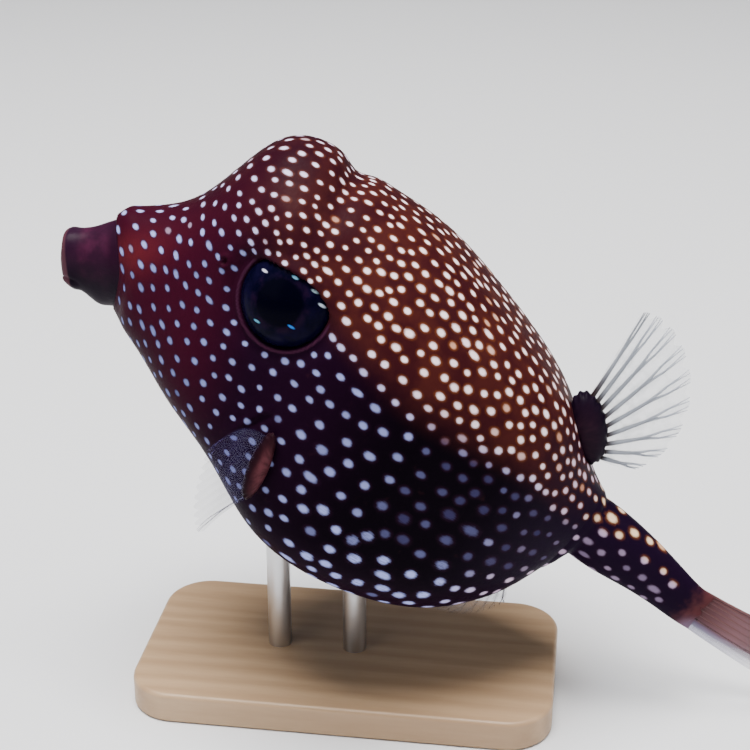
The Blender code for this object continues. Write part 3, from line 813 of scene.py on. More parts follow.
@dataclass
class Skin:
    """One skin over head, trunk and tail stalk."""

    rings: int = 262
    stalk_rings: int = 44
    sides: int = 318
    crowding: float = 0.2
    gather: float = 1.2
    collar: float = 0.4
    hole_radius: float = 5.3
    hole_lid: float = 0.35
    spots_end: float = 73.8
    stalk: tuple = (
        (61.4, 0.8, 3.7, 3.0),
        (65.0, 0.6, 3.65, 2.7),
        (69.5, 0.35, 3.15, 2.1),
        (73.5, -0.15, 2.7, 1.5),
        (76.2, -0.5, 2.5, 1.0),
        (78.0, -0.47, 2.5, 0.28),
    )
    plan: SpotPlan = field(default_factory=SpotPlan)

    def angles(self) -> np.ndarray:
        """Angles round the skin, closer together along the eyes."""
        even = np.linspace(-math.pi, math.pi, self.sides, endpoint=False)
        half = np.abs(even)
        shift = np.sin(2.0 * (half - CASE.eye_angle)) + math.sin(2.0 * CASE.eye_angle)
        return np.sign(even) * (half - self.crowding * shift)

    def rows(self) -> tuple:
        """All rings of points from the mouth's edge to the tail fin.

        Returns:
            Points, angles, and the mask of bare rims, each ring by ring.
        """
        last = len(CASE.sections) - 1.0
        place, angle = np.linspace(0.0, last, self.rings)[:, None], self.angles()
        points, bare = CASE.shaped(place, angle[None, :])
        back = self.gather * (1.0 - smoothstep(0.0, 1.6, place)) * np.sin(angle)[None, :] ** 2
        collar = self.collar * bell(place, 0.40, 0.34) * np.maximum(np.cos(angle), 0.0)[None, :] ** 0.5
        points = points + back[..., None] * [0.88, 0.0, 0.47] + collar[..., None] * [-0.45, 0.0, 0.89]
        front, rear = points[0], points[-1]
        inward = [between(front.mean(0), front, size) + np.array([depth, 0.0, 0.5 * depth])
                  for size, depth in ((0.80, 1.1), (0.86, 0.35), (0.95, -0.08))]
        at = np.linspace(0.0, len(self.stalk) - 1.0, self.stalk_rings)
        level = 2.5 * np.cos(angle)
        ragged = 0.22 * np.cos(2.9 * level + 1.0) + 0.10 * np.cos(5.3 * level) - 0.1
        table = [spline(column, at) for column in np.array(self.stalk).T]
        stalk = [np.stack([x + 0.6 * (1.0 - t) + ragged * t ** 8,
                           wide * np.sin(angle), z + high * np.cos(angle)], axis=-1)
                 for t, x, z, high, wide in zip(at / at[-1], *table)]
        fold = [between(rear, stalk[0], share) + np.array([push, 0.0, 0.0])
                for share, push in ((0.10, 0.10), (0.35, 0.16), (0.65, 0.06))]
        rings = np.array(inward + list(points) + fold + stalk)
        masks = np.zeros(rings.shape[:2])
        masks[len(inward):len(inward) + self.rings] = bare
        return rings, np.broadcast_to(angle, masks.shape), masks

    def regions(self, x: np.ndarray, turn: np.ndarray) -> dict:
        """Masks of the skin's regions, by place along the fish and degrees round it."""
        # The back mask reaches down each side to the ridge: above it the skin is painted lit from above,
        # below it in shade.
        ridge = 67.0 - 8.0 * smoothstep(34.0, 54.0, x)
        back = 1.0 - smoothstep(ridge - 8.0, ridge + 8.0, turn)
        snout = 1.0 - smoothstep(10.0, 19.0, x + 0.10 * (60.0 - turn))
        snout = snout * (0.88 + 0.12 * smoothstep(25.0, 60.0, turn))
        return {"back": back * (0.45 + 0.55 * smoothstep(10.0, 30.0, x)),
                "snout": snout * (1.0 - 0.4 * smoothstep(110.0, 150.0, turn)),
                # Painted light on the snout's upper side.
                "snout_light_patch": bell(x, 6.7, 2.8) * bell(turn, 66.0, 22.0),
                "stalk": smoothstep(47.0, 62.0, x),
                "tail_end": smoothstep(74.0, 78.3, x),
                "tail_low": smoothstep(76.0, 78.0, x) * smoothstep(95.0, 150.0, turn),
                "belly": np.maximum(smoothstep(112.0, 140.0, turn), 1.0 - smoothstep(26.0, 40.0, x))}

    def room(self, mesh: Mesh, points: np.ndarray, bare: np.ndarray) -> np.ndarray:
        """Share of the surface at each point, 0 where no spot may be."""
        areas, totals = read(mesh.polygons, "area"), read(mesh.polygons, "loop_total", kind=int)
        share = np.bincount(read(mesh.loops, "vertex_index", kind=int),
                            np.repeat(areas / totals, totals), len(points))
        x = points[:, 0]
        closed = (bare > 0.3) | (x < CASE_FRONT) | (x > self.spots_end)
        for side in Side:
            along, up, out = CASE.eye(side).local(points)
            hole = (np.hypot(along, up) < self.hole_radius) & (up < CASE.lid_level(along) + self.hole_lid)
            closed |= hole & (np.abs(out) < 9.0)
        return np.where(closed, 0.0, share)

    def lay_spots(self, mesh: Mesh, points: np.ndarray, angle: np.ndarray,
                  share: np.ndarray) -> None:
        """Write each face's nearest spot, as coordinates in it, its tone with painted shade and its size.

        Args:
            mesh: The skin's mesh.
            points: Its points in the fish's frame.
            angle: Their angles round the fish.
            share: The surface's share at each point, 0 where no spot may be.
        """
        chosen = self.plan.scatter(points, points[:, 0], angle, share)
        x, count = points[chosen, 0], len(chosen)
        turned = np.array(POSE.matrix().to_3x3()) / MM
        normals = read(mesh.vertices, "normal", 3).reshape(-1, 3)[chosen] @ turned
        lean = math.radians(12.0) * (1.0 - smoothstep(8.0, 21.0, x)) + math.radians(4.0)
        along = np.stack([np.cos(lean), np.zeros(count), -np.sin(lean)], axis=1)
        along -= normals * (normals * along).sum(1)[:, None]
        along /= np.linalg.norm(along, axis=1, keepdims=True)
        across = np.cross(normals, along)
        draw = np.random.default_rng(SEED + 1)
        front = 1.0 - smoothstep(9.0, 19.0, x)
        sizes = self.plan.radius(x, angle[chosen]) * draw.uniform(0.86, 1.14, count)
        sizes = sizes * (1.0 - 0.08 * front)
        long = (self.plan.stretch + 0.4 * front) * draw.uniform(0.88, 1.12, count)
        long = np.where(draw.random(count) < self.plan.long_share, self.plan.long_stretch, long)
        faces = read(mesh.loops, "vertex_index", kind=int)
        totals = read(mesh.polygons, "loop_total", kind=int)
        starts = np.concatenate([[0], np.cumsum(totals)[:-1]])
        centres = np.add.reduceat(points[faces], starts) / totals[:, None]
        owner = nearest_rows(centres, points[chosen])
        each = np.repeat(owner, totals)
        offset = points[faces] - points[chosen][each]
        first = (offset * along[each]).sum(1) / (sizes * long)[each]
        second = (offset * across[each]).sum(1) / sizes[each]
        away = np.abs((offset * normals[each]).sum(1)) / sizes[each]
        store(mesh, "CORNER", spot=np.stack([first, second, 0.5 * away], 1))
        # Each spot's tone: a little at random, plus painted shade from shade().
        tone = draw.uniform(0.0, 0.14, count) + self.plan.shade(x, angle[chosen])
        tone = np.where(draw.random(count) < self.plan.dull_share, draw.uniform(0.6, 0.9, count), tone)
        store(mesh, "FACE", spot_tone=tone[owner], spot_big=smoothstep(0.38, 0.62, sizes)[owner])
        LOG.info("skin carries %d spots", count)

    def build(self) -> bpy.types.Object:
        """The skin as one closed mesh with its finish."""
        rings, angle, bare = self.rows()
        angle, bare = (np.concatenate([values.ravel(), [0.0, 0.0]]) for values in (angle, bare))
        points = capped(rings)
        mesh = tube("skin", points, len(rings), outward=False)
        store(mesh, bare=bare, **self.regions(points[:, 0], np.degrees(np.abs(angle))))
        self.lay_spots(mesh, points, angle, self.room(mesh, points, bare))
        mesh.materials.append(SkinFinish().build())
        return ride(new_object("skin", mesh), "spotted_skin", "head", "trunk", "tail_stalk")


@dataclass
class Eye:
    """One glossy eye in its orbit."""

    side: Side
    rings: int = 40
    sides: int = 64

    def build(self, finish: Material) -> bpy.types.Object:
        """The eyeball, with its own directions stored for the finish."""
        spot, name = CASE.eye(self.side), self.side.name.lower()
        local = ball(self.rings, self.sides, -self.side.value)
        scaled = local * [CASE.eye_radius, CASE.eye_radius, CASE.eye_depth]
        middle = spot.origin - spot.out * CASE.eye_sunk
        mesh = tube("eye_" + name, middle + scaled @ [spot.along, spot.up, spot.out], self.rings)
        store(mesh, gaze=local)
        mesh.materials.append(finish)
        return ride(new_object("eyeball_" + name, mesh), "eye", "eye_" + name)


@dataclass(frozen=True)
class EyeFinish:
    """Blue-black eye with a darker pupil, a faint purple ring, small bright flecks and a faint painted
    bluish sheen.
    """

    iris: tuple = (0.0009, 0.0009, 0.0070)
    blue_cloud_and_sheen: tuple = (0.0030, 0.0020, 0.0140)
    pupil: tuple = (0.0005, 0.0005, 0.0035)
    ring: tuple = (0.0090, 0.0030, 0.0130)
    fleck_size: tuple = (0.072, 0.027, 1.0)
    flecks: tuple = (
        (-0.68, 0.18, 25.0, (0.50, 0.50, 0.62)),
        (-0.15, 0.575, 17.0, (0.20, 0.52, 0.75)),
        (0.31, 0.66, 12.0, (0.32, 0.46, 0.52)),
        (0.60, 0.55, 5.0, (0.42, 0.50, 0.62)),
        (-0.07, -0.63, 22.0, (0.10, 0.34, 0.50)),
        (0.50, -0.16, 13.0, (0.02, 0.17, 0.60)),
    )
    grain: tuple = (3000.0, 600.0)
    rough: float = 0.22
    gloss: float = 0.018

    def build(self) -> Material:
        """The eye's material."""
        paint = Paint("wet_eye")
        flat = paint.vector("MULTIPLY", paint.mask("gaze", "Vector"), (1.0, 1.0, 0.0))
        reach = paint.plus(paint.vector("LENGTH", flat), paint.swing(paint.noise(900.0, 2.0), 0.08))
        _, mottle = paint.grain(*self.grain)
        # Blue clouding, mottled at random, which also stands for a faint painted bluish sheen.
        shown = paint.mixed(mottle, self.iris, self.blue_cloud_and_sheen)
        shown = paint.mixed(paint.eased(reach, 0.58, 0.44), shown, self.pupil)
        ring = paint.times(paint.eased(reach, 0.44, 0.54), paint.eased(reach, 0.68, 0.56))
        shown = paint.mixed(paint.times(ring, paint.times(mottle, 0.8)), shown, self.ring)
        for x, y, turn, colour in self.flecks:
            inputs = {"Vector": flat, "Location": (x, y, 0.0), "Scale": self.fleck_size,
                      "Rotation": (0.0, 0.0, math.radians(turn))}
            place = paint.add("ShaderNodeMapping", inputs, vector_type="TEXTURE").outputs[0]
            shown = paint.mixed(paint.eased(paint.vector("LENGTH", place), 1.35, 0.55), shown, colour)
        return paint.done(shown, self.rough, self.gloss)


@dataclass
class Lips:
    """The short tube of the lips, with the mouth's line between them."""

    root: tuple = (5.77, -3.62)
    front: tuple = (1.25, -6.05)
    root_size: tuple = (4.8, 2.85)
    front_size: tuple = (2.9, 2.2)
    tilt: float = math.radians(32.0)
    lean: float = math.radians(4.0)
    chin: float = 0.9
    line_root: float = -2.9
    line_front: float = -1.55
    square: float = 0.7
    crease: float = 0.09
    slit_width: float = 0.62
    slit_depth: float = 1.1
    pout: float = 0.26
    sides: int = 120
    rings: int = 54
    slit_rings: int = 18

    def outer(self, angle: np.ndarray, up: np.ndarray, ahead: np.ndarray) -> np.ndarray:
        """Rings of the lips' outside, from their root to the mouth.

        Args:
            angle: Angles round the lips, from 0 at the top.
            up: The direction up across the lips.
            ahead: The direction out of the mouth.

        Returns:
            Points, ring by ring.
        """
        cosine, sine = np.cos(angle), np.sin(angle)
        t = np.linspace(-0.30, 1.0, self.rings)[:, None]
        swell = 0.97 - 0.05 * bell(t, 0.45, 0.3) + 0.07 * bell(t, 0.93, 0.13)
        root, front = (np.array([x, 0.0, z]) for x, z in (self.root, self.front))
        high, wide = (between(first, second, t) * swell
                      for first, second in zip(self.root_size, self.front_size))
        level = between(self.line_root, self.line_front, t)
        square = 2.0 + self.square * smoothstep(0.45, 1.0, t)
        reach = (np.abs(cosine) ** square + np.abs(sine) ** square) ** (-1.0 / square)
        rise = high * reach * cosine
        crease = self.crease * bell(rise, level, 0.28) * smoothstep(0.6, 0.95, t)
        lobe = 1.0 + 0.05 * smoothstep(0.7, 0.95, t) * (rise < level)
        side = wide * reach * sine * (1.0 - crease) * lobe
        drop = self.chin * bell(t, 0.38, 0.26) * np.clip(-cosine, 0.0, 1.0) ** 1.5
        tip = math.tan(self.lean) * smoothstep(0.5, 1.0, t) * (high - rise)
        return (between(root, front, t)[:, None] + (rise - drop)[..., None] * up
                + side[..., None] * [0.0, 1.0, 0.0] - tip[..., None] * ahead)

    def build(self) -> bpy.types.Object:
        """Both lips as one closed mesh, creased along the mouth."""
        angle = np.linspace(-math.pi, math.pi, self.sides, endpoint=False)
        up = np.array([-math.sin(self.tilt), 0.0, math.cos(self.tilt)])
        ahead = np.array([-math.cos(self.tilt), 0.0, -math.sin(self.tilt)])
        outer, middle = self.outer(angle, up, ahead), np.array([self.front[0], 0.0, self.front[1]])
        edge = outer[-1]
        slit = middle + self.line_front * up + self.slit_width * (edge - middle) * [0.0, 1.0, 0.0]
        t = np.linspace(0.06, 1.0, self.slit_rings)[:, None]
        push = self.pout * np.sin(np.pi * np.minimum(1.0, 1.15 * t))
        push = push - self.slit_depth * smoothstep(0.7, 1.0, t)
        low = 0.10 * np.sin(np.pi * t) * ((edge - middle) @ up < self.line_front)
        inner = between(edge, slit, t[..., None]) + (push + low)[..., None] * ahead
        rings = np.concatenate([outer, inner])
        mesh = tube("lips", capped(rings), len(rings))
        forward = np.repeat(np.linspace(0.0, 1.0, len(rings)), self.sides)
        # Mask of the lips' underside, where shade is painted.
        under = np.tile(smoothstep(-0.4, 0.5, -np.cos(angle)), len(rings))
        store(mesh, forward=np.append(forward, [0.0, 1.0]), under=np.append(under, [0.0, 0.0]))
        mesh.materials.append(LipFinish().build())
        return ride(new_object("lips", mesh), "lip_skin", "upper_lip", "lower_lip")


@dataclass(frozen=True)
class LipFinish:
    """Smooth maroon lips with a paler brown edge and painted shade underneath."""

    root: tuple = (0.016, 0.0022, 0.012)
    deep: tuple = (0.021, 0.0042, 0.016)
    mid: tuple = (0.045, 0.0075, 0.026)
    band: tuple = (0.017, 0.0045, 0.016)
    # low: painted shade on the lips' underside.
    low: tuple = (0.0045, 0.0014, 0.0068)
    edge: tuple = (0.066, 0.0230, 0.034)
    grain: tuple = (1800.0, 420.0)
    rough: float = 0.42
    gloss: float = 0.05
    relief: tuple = (0.4, 0.00008)

    def build(self) -> Material:
        """The lips' material."""
        paint = Paint("lip_skin")
        forward = paint.mask("forward")
        height, mottle = paint.grain(*self.grain)
        shown = paint.mixed(mottle, self.deep, self.mid)
        shown = paint.mixed(paint.eased(forward, 0.26, 0.12), shown, self.root)
        shown = paint.mixed(paint.times(paint.eased(forward, 0.50, 0.60), 0.8), shown, self.band)
        # Painted shade on the underside of the lips.
        shown = paint.mixed(paint.times(paint.mask("under"), 0.92), shown, self.low)
        edge = paint.times(paint.eased(forward, 0.695, 0.725), paint.eased(forward, 0.97, 0.86))
        shown = paint.mixed(edge, shown, self.edge)
        return paint.done(shown, self.rough, self.gloss, relief=(height, *self.relief))


def axes_matrix(along: tuple, out: tuple, origin: tuple | np.ndarray) -> Matrix:
    """Matrix with local x along a fin's base, y out of the body and z to its side."""
    along, out = Vector(along).normalized(), Vector(out)
    out = (out - along * out.dot(along)).normalized()
    matrix = Matrix((along, out, along.cross(out))).transposed().to_4x4()
    matrix.translation = Vector(origin)
    return matrix


@functools.cache
def ray_tree() -> bpy.types.NodeTree:
    """Geometry nodes that sweep a round, tapered ray along each line of a mesh."""
    nodes, given, made = new_group(
        "fin_rays", "GeometryNodeTree",
        {"Lines": "NodeSocketGeometry", "Thickness": "NodeSocketFloat", "Sides": "NodeSocketInt",
         "Finish": "NodeSocketMaterial"}, {"Rays": "NodeSocketGeometry"})
    width = nodes.add("GeometryNodeInputNamedAttribute", {"Name": "thickness"}, data_type="FLOAT")
    scaled = nodes.times(width.outputs[0], given["Thickness"])
    lines = nodes.add("GeometryNodeMeshToCurve", {"Mesh": given["Lines"]})
    sized = nodes.add("GeometryNodeSetCurveRadius", {"Curve": lines.outputs[0], "Radius": scaled})
    ring = nodes.add("GeometryNodeCurvePrimitiveCircle", {"Resolution": given["Sides"], "Radius": 1.0},
                     mode="RADIUS")
    swept = nodes.add("GeometryNodeCurveToMesh", {"Curve": sized.outputs[0], "Fill Caps": True,
                                                  "Profile Curve": ring.outputs[0]})
    if "Scale" in swept.inputs:
        nodes.feed(swept.inputs["Scale"], scaled)
    whole = nodes.add("GeometryNodeRealizeInstances", {"Geometry": swept.outputs[0]}).outputs[0]
    dressed = nodes.add("GeometryNodeSetMaterial", {"Geometry": whole, "Material": given["Finish"]})
    nodes.feed(made[0], dressed.outputs[0])
    return nodes.tree


@dataclass(frozen=True)
class FinLook:
    """The materials of one fin."""

    ray: Material
    membrane: Material
    base: Material | None = None


@dataclass
class Fin:
    """A rayed fin on its fleshy base, an ellipse in the fin's plane."""

    name: str
    place: Matrix
    base: tuple
    base_width: float
    roots: tuple
    fan: tuple
    lengths: tuple
    rays: int
    sweep: float
    lobe: float
    ray_thickness: float = 0.17
    branch: float = 0.24
    bunch: float = 1.0
    lead: float = 1.0
    bow: float = 0.0
    drawn: tuple = (0.0, 1.0)
    root_shape: tuple = (1.0, 0.0, 0.0)
    notch: tuple = (0.90, 0.98)
    film: float = 0.055
    film_ridge: float = 0.008
    tucked: float = 0.03
    ray_sides: int = 8
    base_rings: int = 30
    base_sides: int = 96
    rib_height: float = 0.035
    rib_pace: float = 1.9
    steps: int = 22
    spread: int = 8

    def middle(self, u: Values, v: Values, notch: Values = 1.0) -> np.ndarray:
        """Points of the fin's middle surface.

        Args:
            u: Place across the fin, from 0 at its first edge to 1.
            v: Place out along the rays, from 0 at the base to 1.
            notch: Share of the full length there.

        Returns:
            The points in the fin's own frame.
        """
        root, turn = np.radians(between(*self.roots, u)), np.radians(between(*self.fan, u ** self.bunch))
        share = np.maximum(0.0, np.minimum(u / self.lobe, (1.0 - u) / (1.0 - self.lobe)))
        edge = np.where(u < self.lobe, self.lengths[0], self.lengths[2])
        reach = between(edge, self.lengths[1], np.sin(0.5 * np.pi * share)) * notch * v
        x = self.base[0] * np.cos(root) + np.cos(turn) * reach
        x = x - self.bow * np.sin(np.pi * v) * (1.0 - u) ** 2
        y = self.base[1] * np.sin(root) + np.sin(turn) * reach
        return np.stack(np.broadcast_arrays(x, y, self.sweep * v * v), axis=-1)

    def strands(self) -> list:
        """Each ray with its two branches and their twigs.

        Returns:
            Rows of the places across, the places along and the thicknesses at start and end.
        """
        gap = 1.0 / self.rays
        rows = []
        for u in (np.arange(self.rays) + 0.5) * gap:
            if not self.drawn[0] <= u <= self.drawn[1]:
                continue
            rows.append((u, u, 0.0, 0.46, 1.0, 0.72))
            for fork in (u - self.branch * gap, u + self.branch * gap):
                rows.append((u, fork, 0.44, 0.74, 0.66, 0.46))
                rows += [(fork, fork + side * 0.45 * self.branch * gap, 0.72, 1.0, 0.42, 0.16)
                         for side in (-1.0, 1.0)]
        return rows

    def ray_mesh(self, finish: Material) -> Mesh:
        """The rays as a plain mesh, swept by the geometry nodes."""
        rows, edges, count = [], [], 0
        for u0, u1, v0, v1, wide0, wide1 in self.strands():
            t = np.linspace(0.0, 1.0, max(4, int(18 * (v1 - v0))))
            u, v = between(u0, u1, t ** 1.3), between(v0, v1, t)
            lead = self.lead if u0 < 1.0 / self.rays else 1.0
            spots = self.middle(u, v - self.tucked)
            rows.append(np.column_stack([spots, between(wide0, wide1, t), v * lead, u]))
            edges += [(count + k, count + k + 1) for k in range(len(t) - 1)]
            count += len(t)
        rows = np.concatenate(rows)
        mesh = bpy.data.meshes.new(self.name + "_lines")
        mesh.from_pydata(POSE.place(moved(self.place, rows[:, :3])), edges, [])
        store(mesh, thickness=rows[:, 3], along=rows[:, 4], place=rows[:, 5])
        item = new_object(self.name + "_lines", mesh)
        modifier = item.modifiers.new("rays", "NODES")
        modifier.node_group = ray_tree()
        sockets = {socket.name: socket.identifier for socket in ray_tree().interface.items_tree}
        modifier[sockets["Thickness"]] = self.ray_thickness * MM
        modifier[sockets["Sides"]] = self.ray_sides
        modifier[sockets["Finish"]] = finish
        graph = bpy.context.evaluated_depsgraph_get()
        result = bpy.data.meshes.new_from_object(item.evaluated_get(graph))
        item.modifiers.clear()
        bpy.data.objects.remove(item)
        result.shade_smooth()
        return result

    def membrane_mesh(self, finish: Material) -> Mesh:
        """The clear membrane as a thin closed sheet, thicker along the rays."""
        columns, rows = self.rays * self.spread + 1, self.steps + 1
        u, v = np.meshgrid(np.arange(columns) / (columns - 1.0), np.arange(rows) / self.steps, indexing="ij")
        crest = 0.5 - 0.5 * np.cos(2.0 * np.pi * self.rays * u)
        spot = self.middle(u, v, self.notch[0] + (self.notch[1] - self.notch[0]) * crest ** 0.6)
        half = (self.film + self.film_ridge * crest * (1.0 - v)) * (1.0 - 0.4 * v)
        lift = half[..., None] * [0.0, 0.0, 1.0]
        points = np.concatenate([(spot + lift).reshape(-1, 3), (spot - lift).reshape(-1, 3)])
        far = columns * rows
        faces = []
        for i in range(columns - 1):
            for k in range(self.steps):
                a, b = i * rows + k, (i + 1) * rows + k
                faces += [(a, b, b + 1, a + 1), (far + a, far + a + 1, far + b + 1, far + b)]
        border = [i * rows for i in range(columns)]
        border += [(columns - 1) * rows + k for k in range(1, rows)]
        border += [i * rows + self.steps for i in range(columns - 2, -1, -1)]
        border += range(self.steps - 1, 0, -1)
        faces += [(a, far + a, far + b, b) for a, b in zip(border, border[1:] + border[:1])]
        mesh = new_mesh(self.name + "_sheet", moved(self.place, points), faces)
        face_out(mesh)
        store(mesh, **{name: np.tile(values.ravel(), 2)
                       for name, values in (("crest", crest), ("along", v), ("place", u))})
        mesh.materials.append(finish)
        return mesh

    def base_mesh(self, finish: Material) -> Mesh:
        """The fleshy base, ribbed toward the rays."""
        local = ball(self.base_rings, self.base_sides)
        turn = np.arctan2(local[:, 1], local[:, 0]) % (2.0 * np.pi)
        rib = self.rib_height * np.hypot(local[:, 0], local[:, 1]) ** 8
        local[:, :2] *= 1.0 + (rib * np.cos(turn * self.rays * self.rib_pace))[:, None]
        x, y, z = local.T
        share, slope, shift = self.root_shape
        long, high, wide = x * self.base[0], y * self.base[1], z * self.base_width
        points = moved(self.place, np.stack([long, share * high + slope * long + shift, wide], 1))
        mesh = tube(self.name + "_base", points, self.base_rings)
        store(mesh, fan=np.stack([9.0 * x / (1.6 + y), 0.9 * y, 2.0 * z], 1), rim=np.hypot(x, y))
        mesh.materials.append(finish)
        return mesh

    def build(self, look: FinLook, node_name: str, base_node: str | None = None) -> None:
        """The fin's rays, membrane and base as pieces that stand for their nodes."""
        slot = "tail_membrane" if self.name == "tail" else "fin_membrane"
        ride(new_object(self.name + "_rays", self.ray_mesh(look.ray)), slot, node_name)
        ride(new_object(self.name + "_membrane", self.membrane_mesh(look.membrane)), slot, node_name)
        if base_node:
            ride(new_object(self.name + "_root", self.base_mesh(look.base)), "fin_root", base_node)


@dataclass(frozen=True)
class RayFinish:
    """Pale, slightly clear fin rays, darker at the root."""

    name: str
    root: tuple
    middle: tuple
    tip: tuple
    reach: float = 0.14
    clear: float = 0.75
    cover: float = 1.0
    clear_from: float = 1.5
    left: float = 0.15
    edge: float = 0.0
    rough: float = 0.32
    gloss: float = 0.2

    def build(self) -> Material:
        """The rays' material."""
        paint = Paint(self.name)
        along, place = paint.mask("along"), paint.mask("place")
        shown = paint.mixed(paint.eased(along, 0.02, self.reach), self.root, self.middle)
        shown = paint.mixed(paint.eased(along, 0.35, 1.0), shown, self.tip)
        fade = paint.eased(place, self.clear_from, self.clear_from + 0.3, 1.0, self.left)
        cover = paint.eased(along, 0.2, 1.0, self.cover, self.clear)
        cover = paint.plus(cover, paint.eased(place, 0.91, 0.94, 0.0, self.edge))
        return paint.done(shown, self.rough, self.gloss, alpha=paint.times(cover, fade))


@dataclass(frozen=True)
class MembraneFinish:
    """Clear fin membrane, faintly clouded near the rays."""

    name: str
    colour: tuple
    low: float
    high: float
    root: tuple | None = None
    clear_from: float = 1.5
    haze: tuple = (0.20, 0.19, 0.33)
    haze_clear: float = 0.66
    grain: tuple = (900.0, 500.0)
    rough: float = 0.25
    gloss: float = 0.15

    def build(self) -> Material:
        """The membrane's material."""
        paint = Paint(self.name)
        crest, along, place = (paint.mask(name) for name in ("crest", "along", "place"))
        dark = self.root or tuple(0.5 * c for c in self.colour)
        shown = paint.mixed(paint.eased(along, 0.50, 0.10), self.colour, dark)
        if self.root:
            shown = paint.mixed(paint.eased(place, 0.20, 0.02), shown, self.root)
        beyond = paint.eased(place, self.clear_from, self.clear_from + 0.3)
        _, mottle = paint.grain(*self.grain)
        cover = paint.plus(paint.times(crest, 0.5), paint.times(mottle, 0.5))
        cover = paint.eased(cover, 0.1, 0.9, self.low, self.high)
        fade = paint.times(paint.eased(along, 1.0, 0.1, 0.55, 1.5),
                           paint.minus(1.0, paint.times(beyond, self.haze_clear)))
        return paint.done(paint.mixed(beyond, shown, self.haze), self.rough, self.gloss,
                          alpha=paint.times(cover, fade, clamp=True))


@dataclass(frozen=True)
class FleshFinish:
    """Smooth skin of a fin's fleshy base."""

    name: str
    deep: tuple
    pale: tuple
    rough: float = 0.4
    gloss: float = 0.03
    relief: tuple = (0.4, 0.0001)

    def build(self) -> Material:
        """The base's material, streaked along the rays and darker round its border."""
        paint = Paint(self.name)
        streak = paint.noise(1.0, 2.0, 0.5, paint.mask("fan", "Vector"))
        inside = paint.eased(paint.mask("rim"), 1.0, 0.35)
        share = paint.times(paint.eased(streak, 0.25, 0.75, 0.3, 1.0), inside)
        shown = paint.mixed(share, self.deep, self.pale)
        return paint.done(shown, self.rough, self.gloss, relief=(streak, *self.relief))


@dataclass
class Stand:
    """Flat wooden plate with two steel rods."""

    plate: tuple = (46.0, 24.0, 3.5)
    corner: float = 5.0
    corner_steps: int = 17
    edge: float = 0.5
    foot_edge: float = 0.25
    rod_radius: float = 1.3
    rod_sides: int = 48
    rod_x: tuple = (-8.0, 0.5)
    rod_sunk: float = 0.4
    sharp: float = math.radians(40.0)

    def add(self, name: str, mesh: Mesh, finish: Material, slot: str,
            node_name: str) -> None:
        """Shade a mesh and let it stand for its node."""
        mesh.shade_smooth()
        mesh.set_sharp_from_angle(angle=self.sharp)
        mesh.materials.append(finish)
        ride(new_object(name, mesh), slot, node_name)

    def build_plate(self) -> None:
        """The plate, with rounded corners and a soft edge."""
        length, width, height = self.plate
        corner = np.repeat(np.arange(4), self.corner_steps)
        step = np.tile(np.linspace(0.0, 1.0, self.corner_steps), 4)
        turn, diagonal = np.radians(90.0) * (corner + step), np.radians(90.0) * (corner + 0.5)
        centres = np.stack([np.sign(np.cos(diagonal)) * (length / 2.0 - self.corner),
                            np.sign(np.sin(diagonal)) * (width / 2.0 - self.corner)], 1)
        spokes = np.stack([np.cos(turn), np.sin(turn)], 1)
        rolls = np.radians(np.linspace(0.0, 90.0, 5))
        levels = [(self.foot_edge, 0.0), (0.0, self.foot_edge)]
        levels += zip(self.edge * (1.0 - np.cos(rolls)), height - self.edge * (1.0 - np.sin(rolls)))
        rings = [np.column_stack([centres + (self.corner - inset) * spokes, np.full(len(turn), z)])
                 for inset, z in levels]
        sides, last = len(turn), (len(levels) - 1) * len(turn)
        faces = [tuple(range(sides))[::-1], tuple(range(last, last + sides))]
        for low in range(0, last, sides):
            faces += [(low + j, low + (j + 1) % sides, low + sides + (j + 1) % sides, low + sides + j)
                      for j in range(sides)]
        mesh = bpy.data.meshes.new("stand_plate_board")
        mesh.from_pydata(np.concatenate(rings) * MM, [], faces)
        face_out(mesh)
        self.add("stand_board", mesh, WoodFinish().build(), "stand_wood", "stand_plate")

    def build_rod(self, name: str, x: float, node_name: str, finish: Material) -> None:
        """One rod, from the plate up to the belly."""
        low, high = self.plate[2] * MM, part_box(node_name)[1].z - self.rod_sunk * MM
        profile = [(0.0, low), (self.rod_radius, low), (self.rod_radius, high), (0.0, high)]
        form = bmesh.new()
        verts = [form.verts.new(((x + r) * MM, 0.0, z)) for r, z in profile]
        edges = [form.edges.new(pair) for pair in zip(verts, verts[1:])]
        bmesh.ops.spin(form, geom=verts + edges, cent=(x * MM, 0.0, 0.0), axis=(0.0, 0.0, 1.0),
                       angle=2.0 * math.pi, steps=self.rod_sides, use_merge=True)
        bmesh.ops.remove_doubles(form, verts=form.verts, dist=1e-6)
        bmesh.ops.recalc_face_normals(form, faces=form.faces)
        mesh = bpy.data.meshes.new(name)
        form.to_mesh(mesh)
        form.free()
        self.add(name, mesh, finish, "stand_steel", node_name)

    def build(self) -> None:
        """The whole stand."""
        self.build_plate()
        steel = SteelFinish().build()
        self.build_rod("stand_front_post", self.rod_x[0], "stand_rod_front", steel)
        self.build_rod("stand_rear_post", self.rod_x[1], "stand_rod_rear", steel)


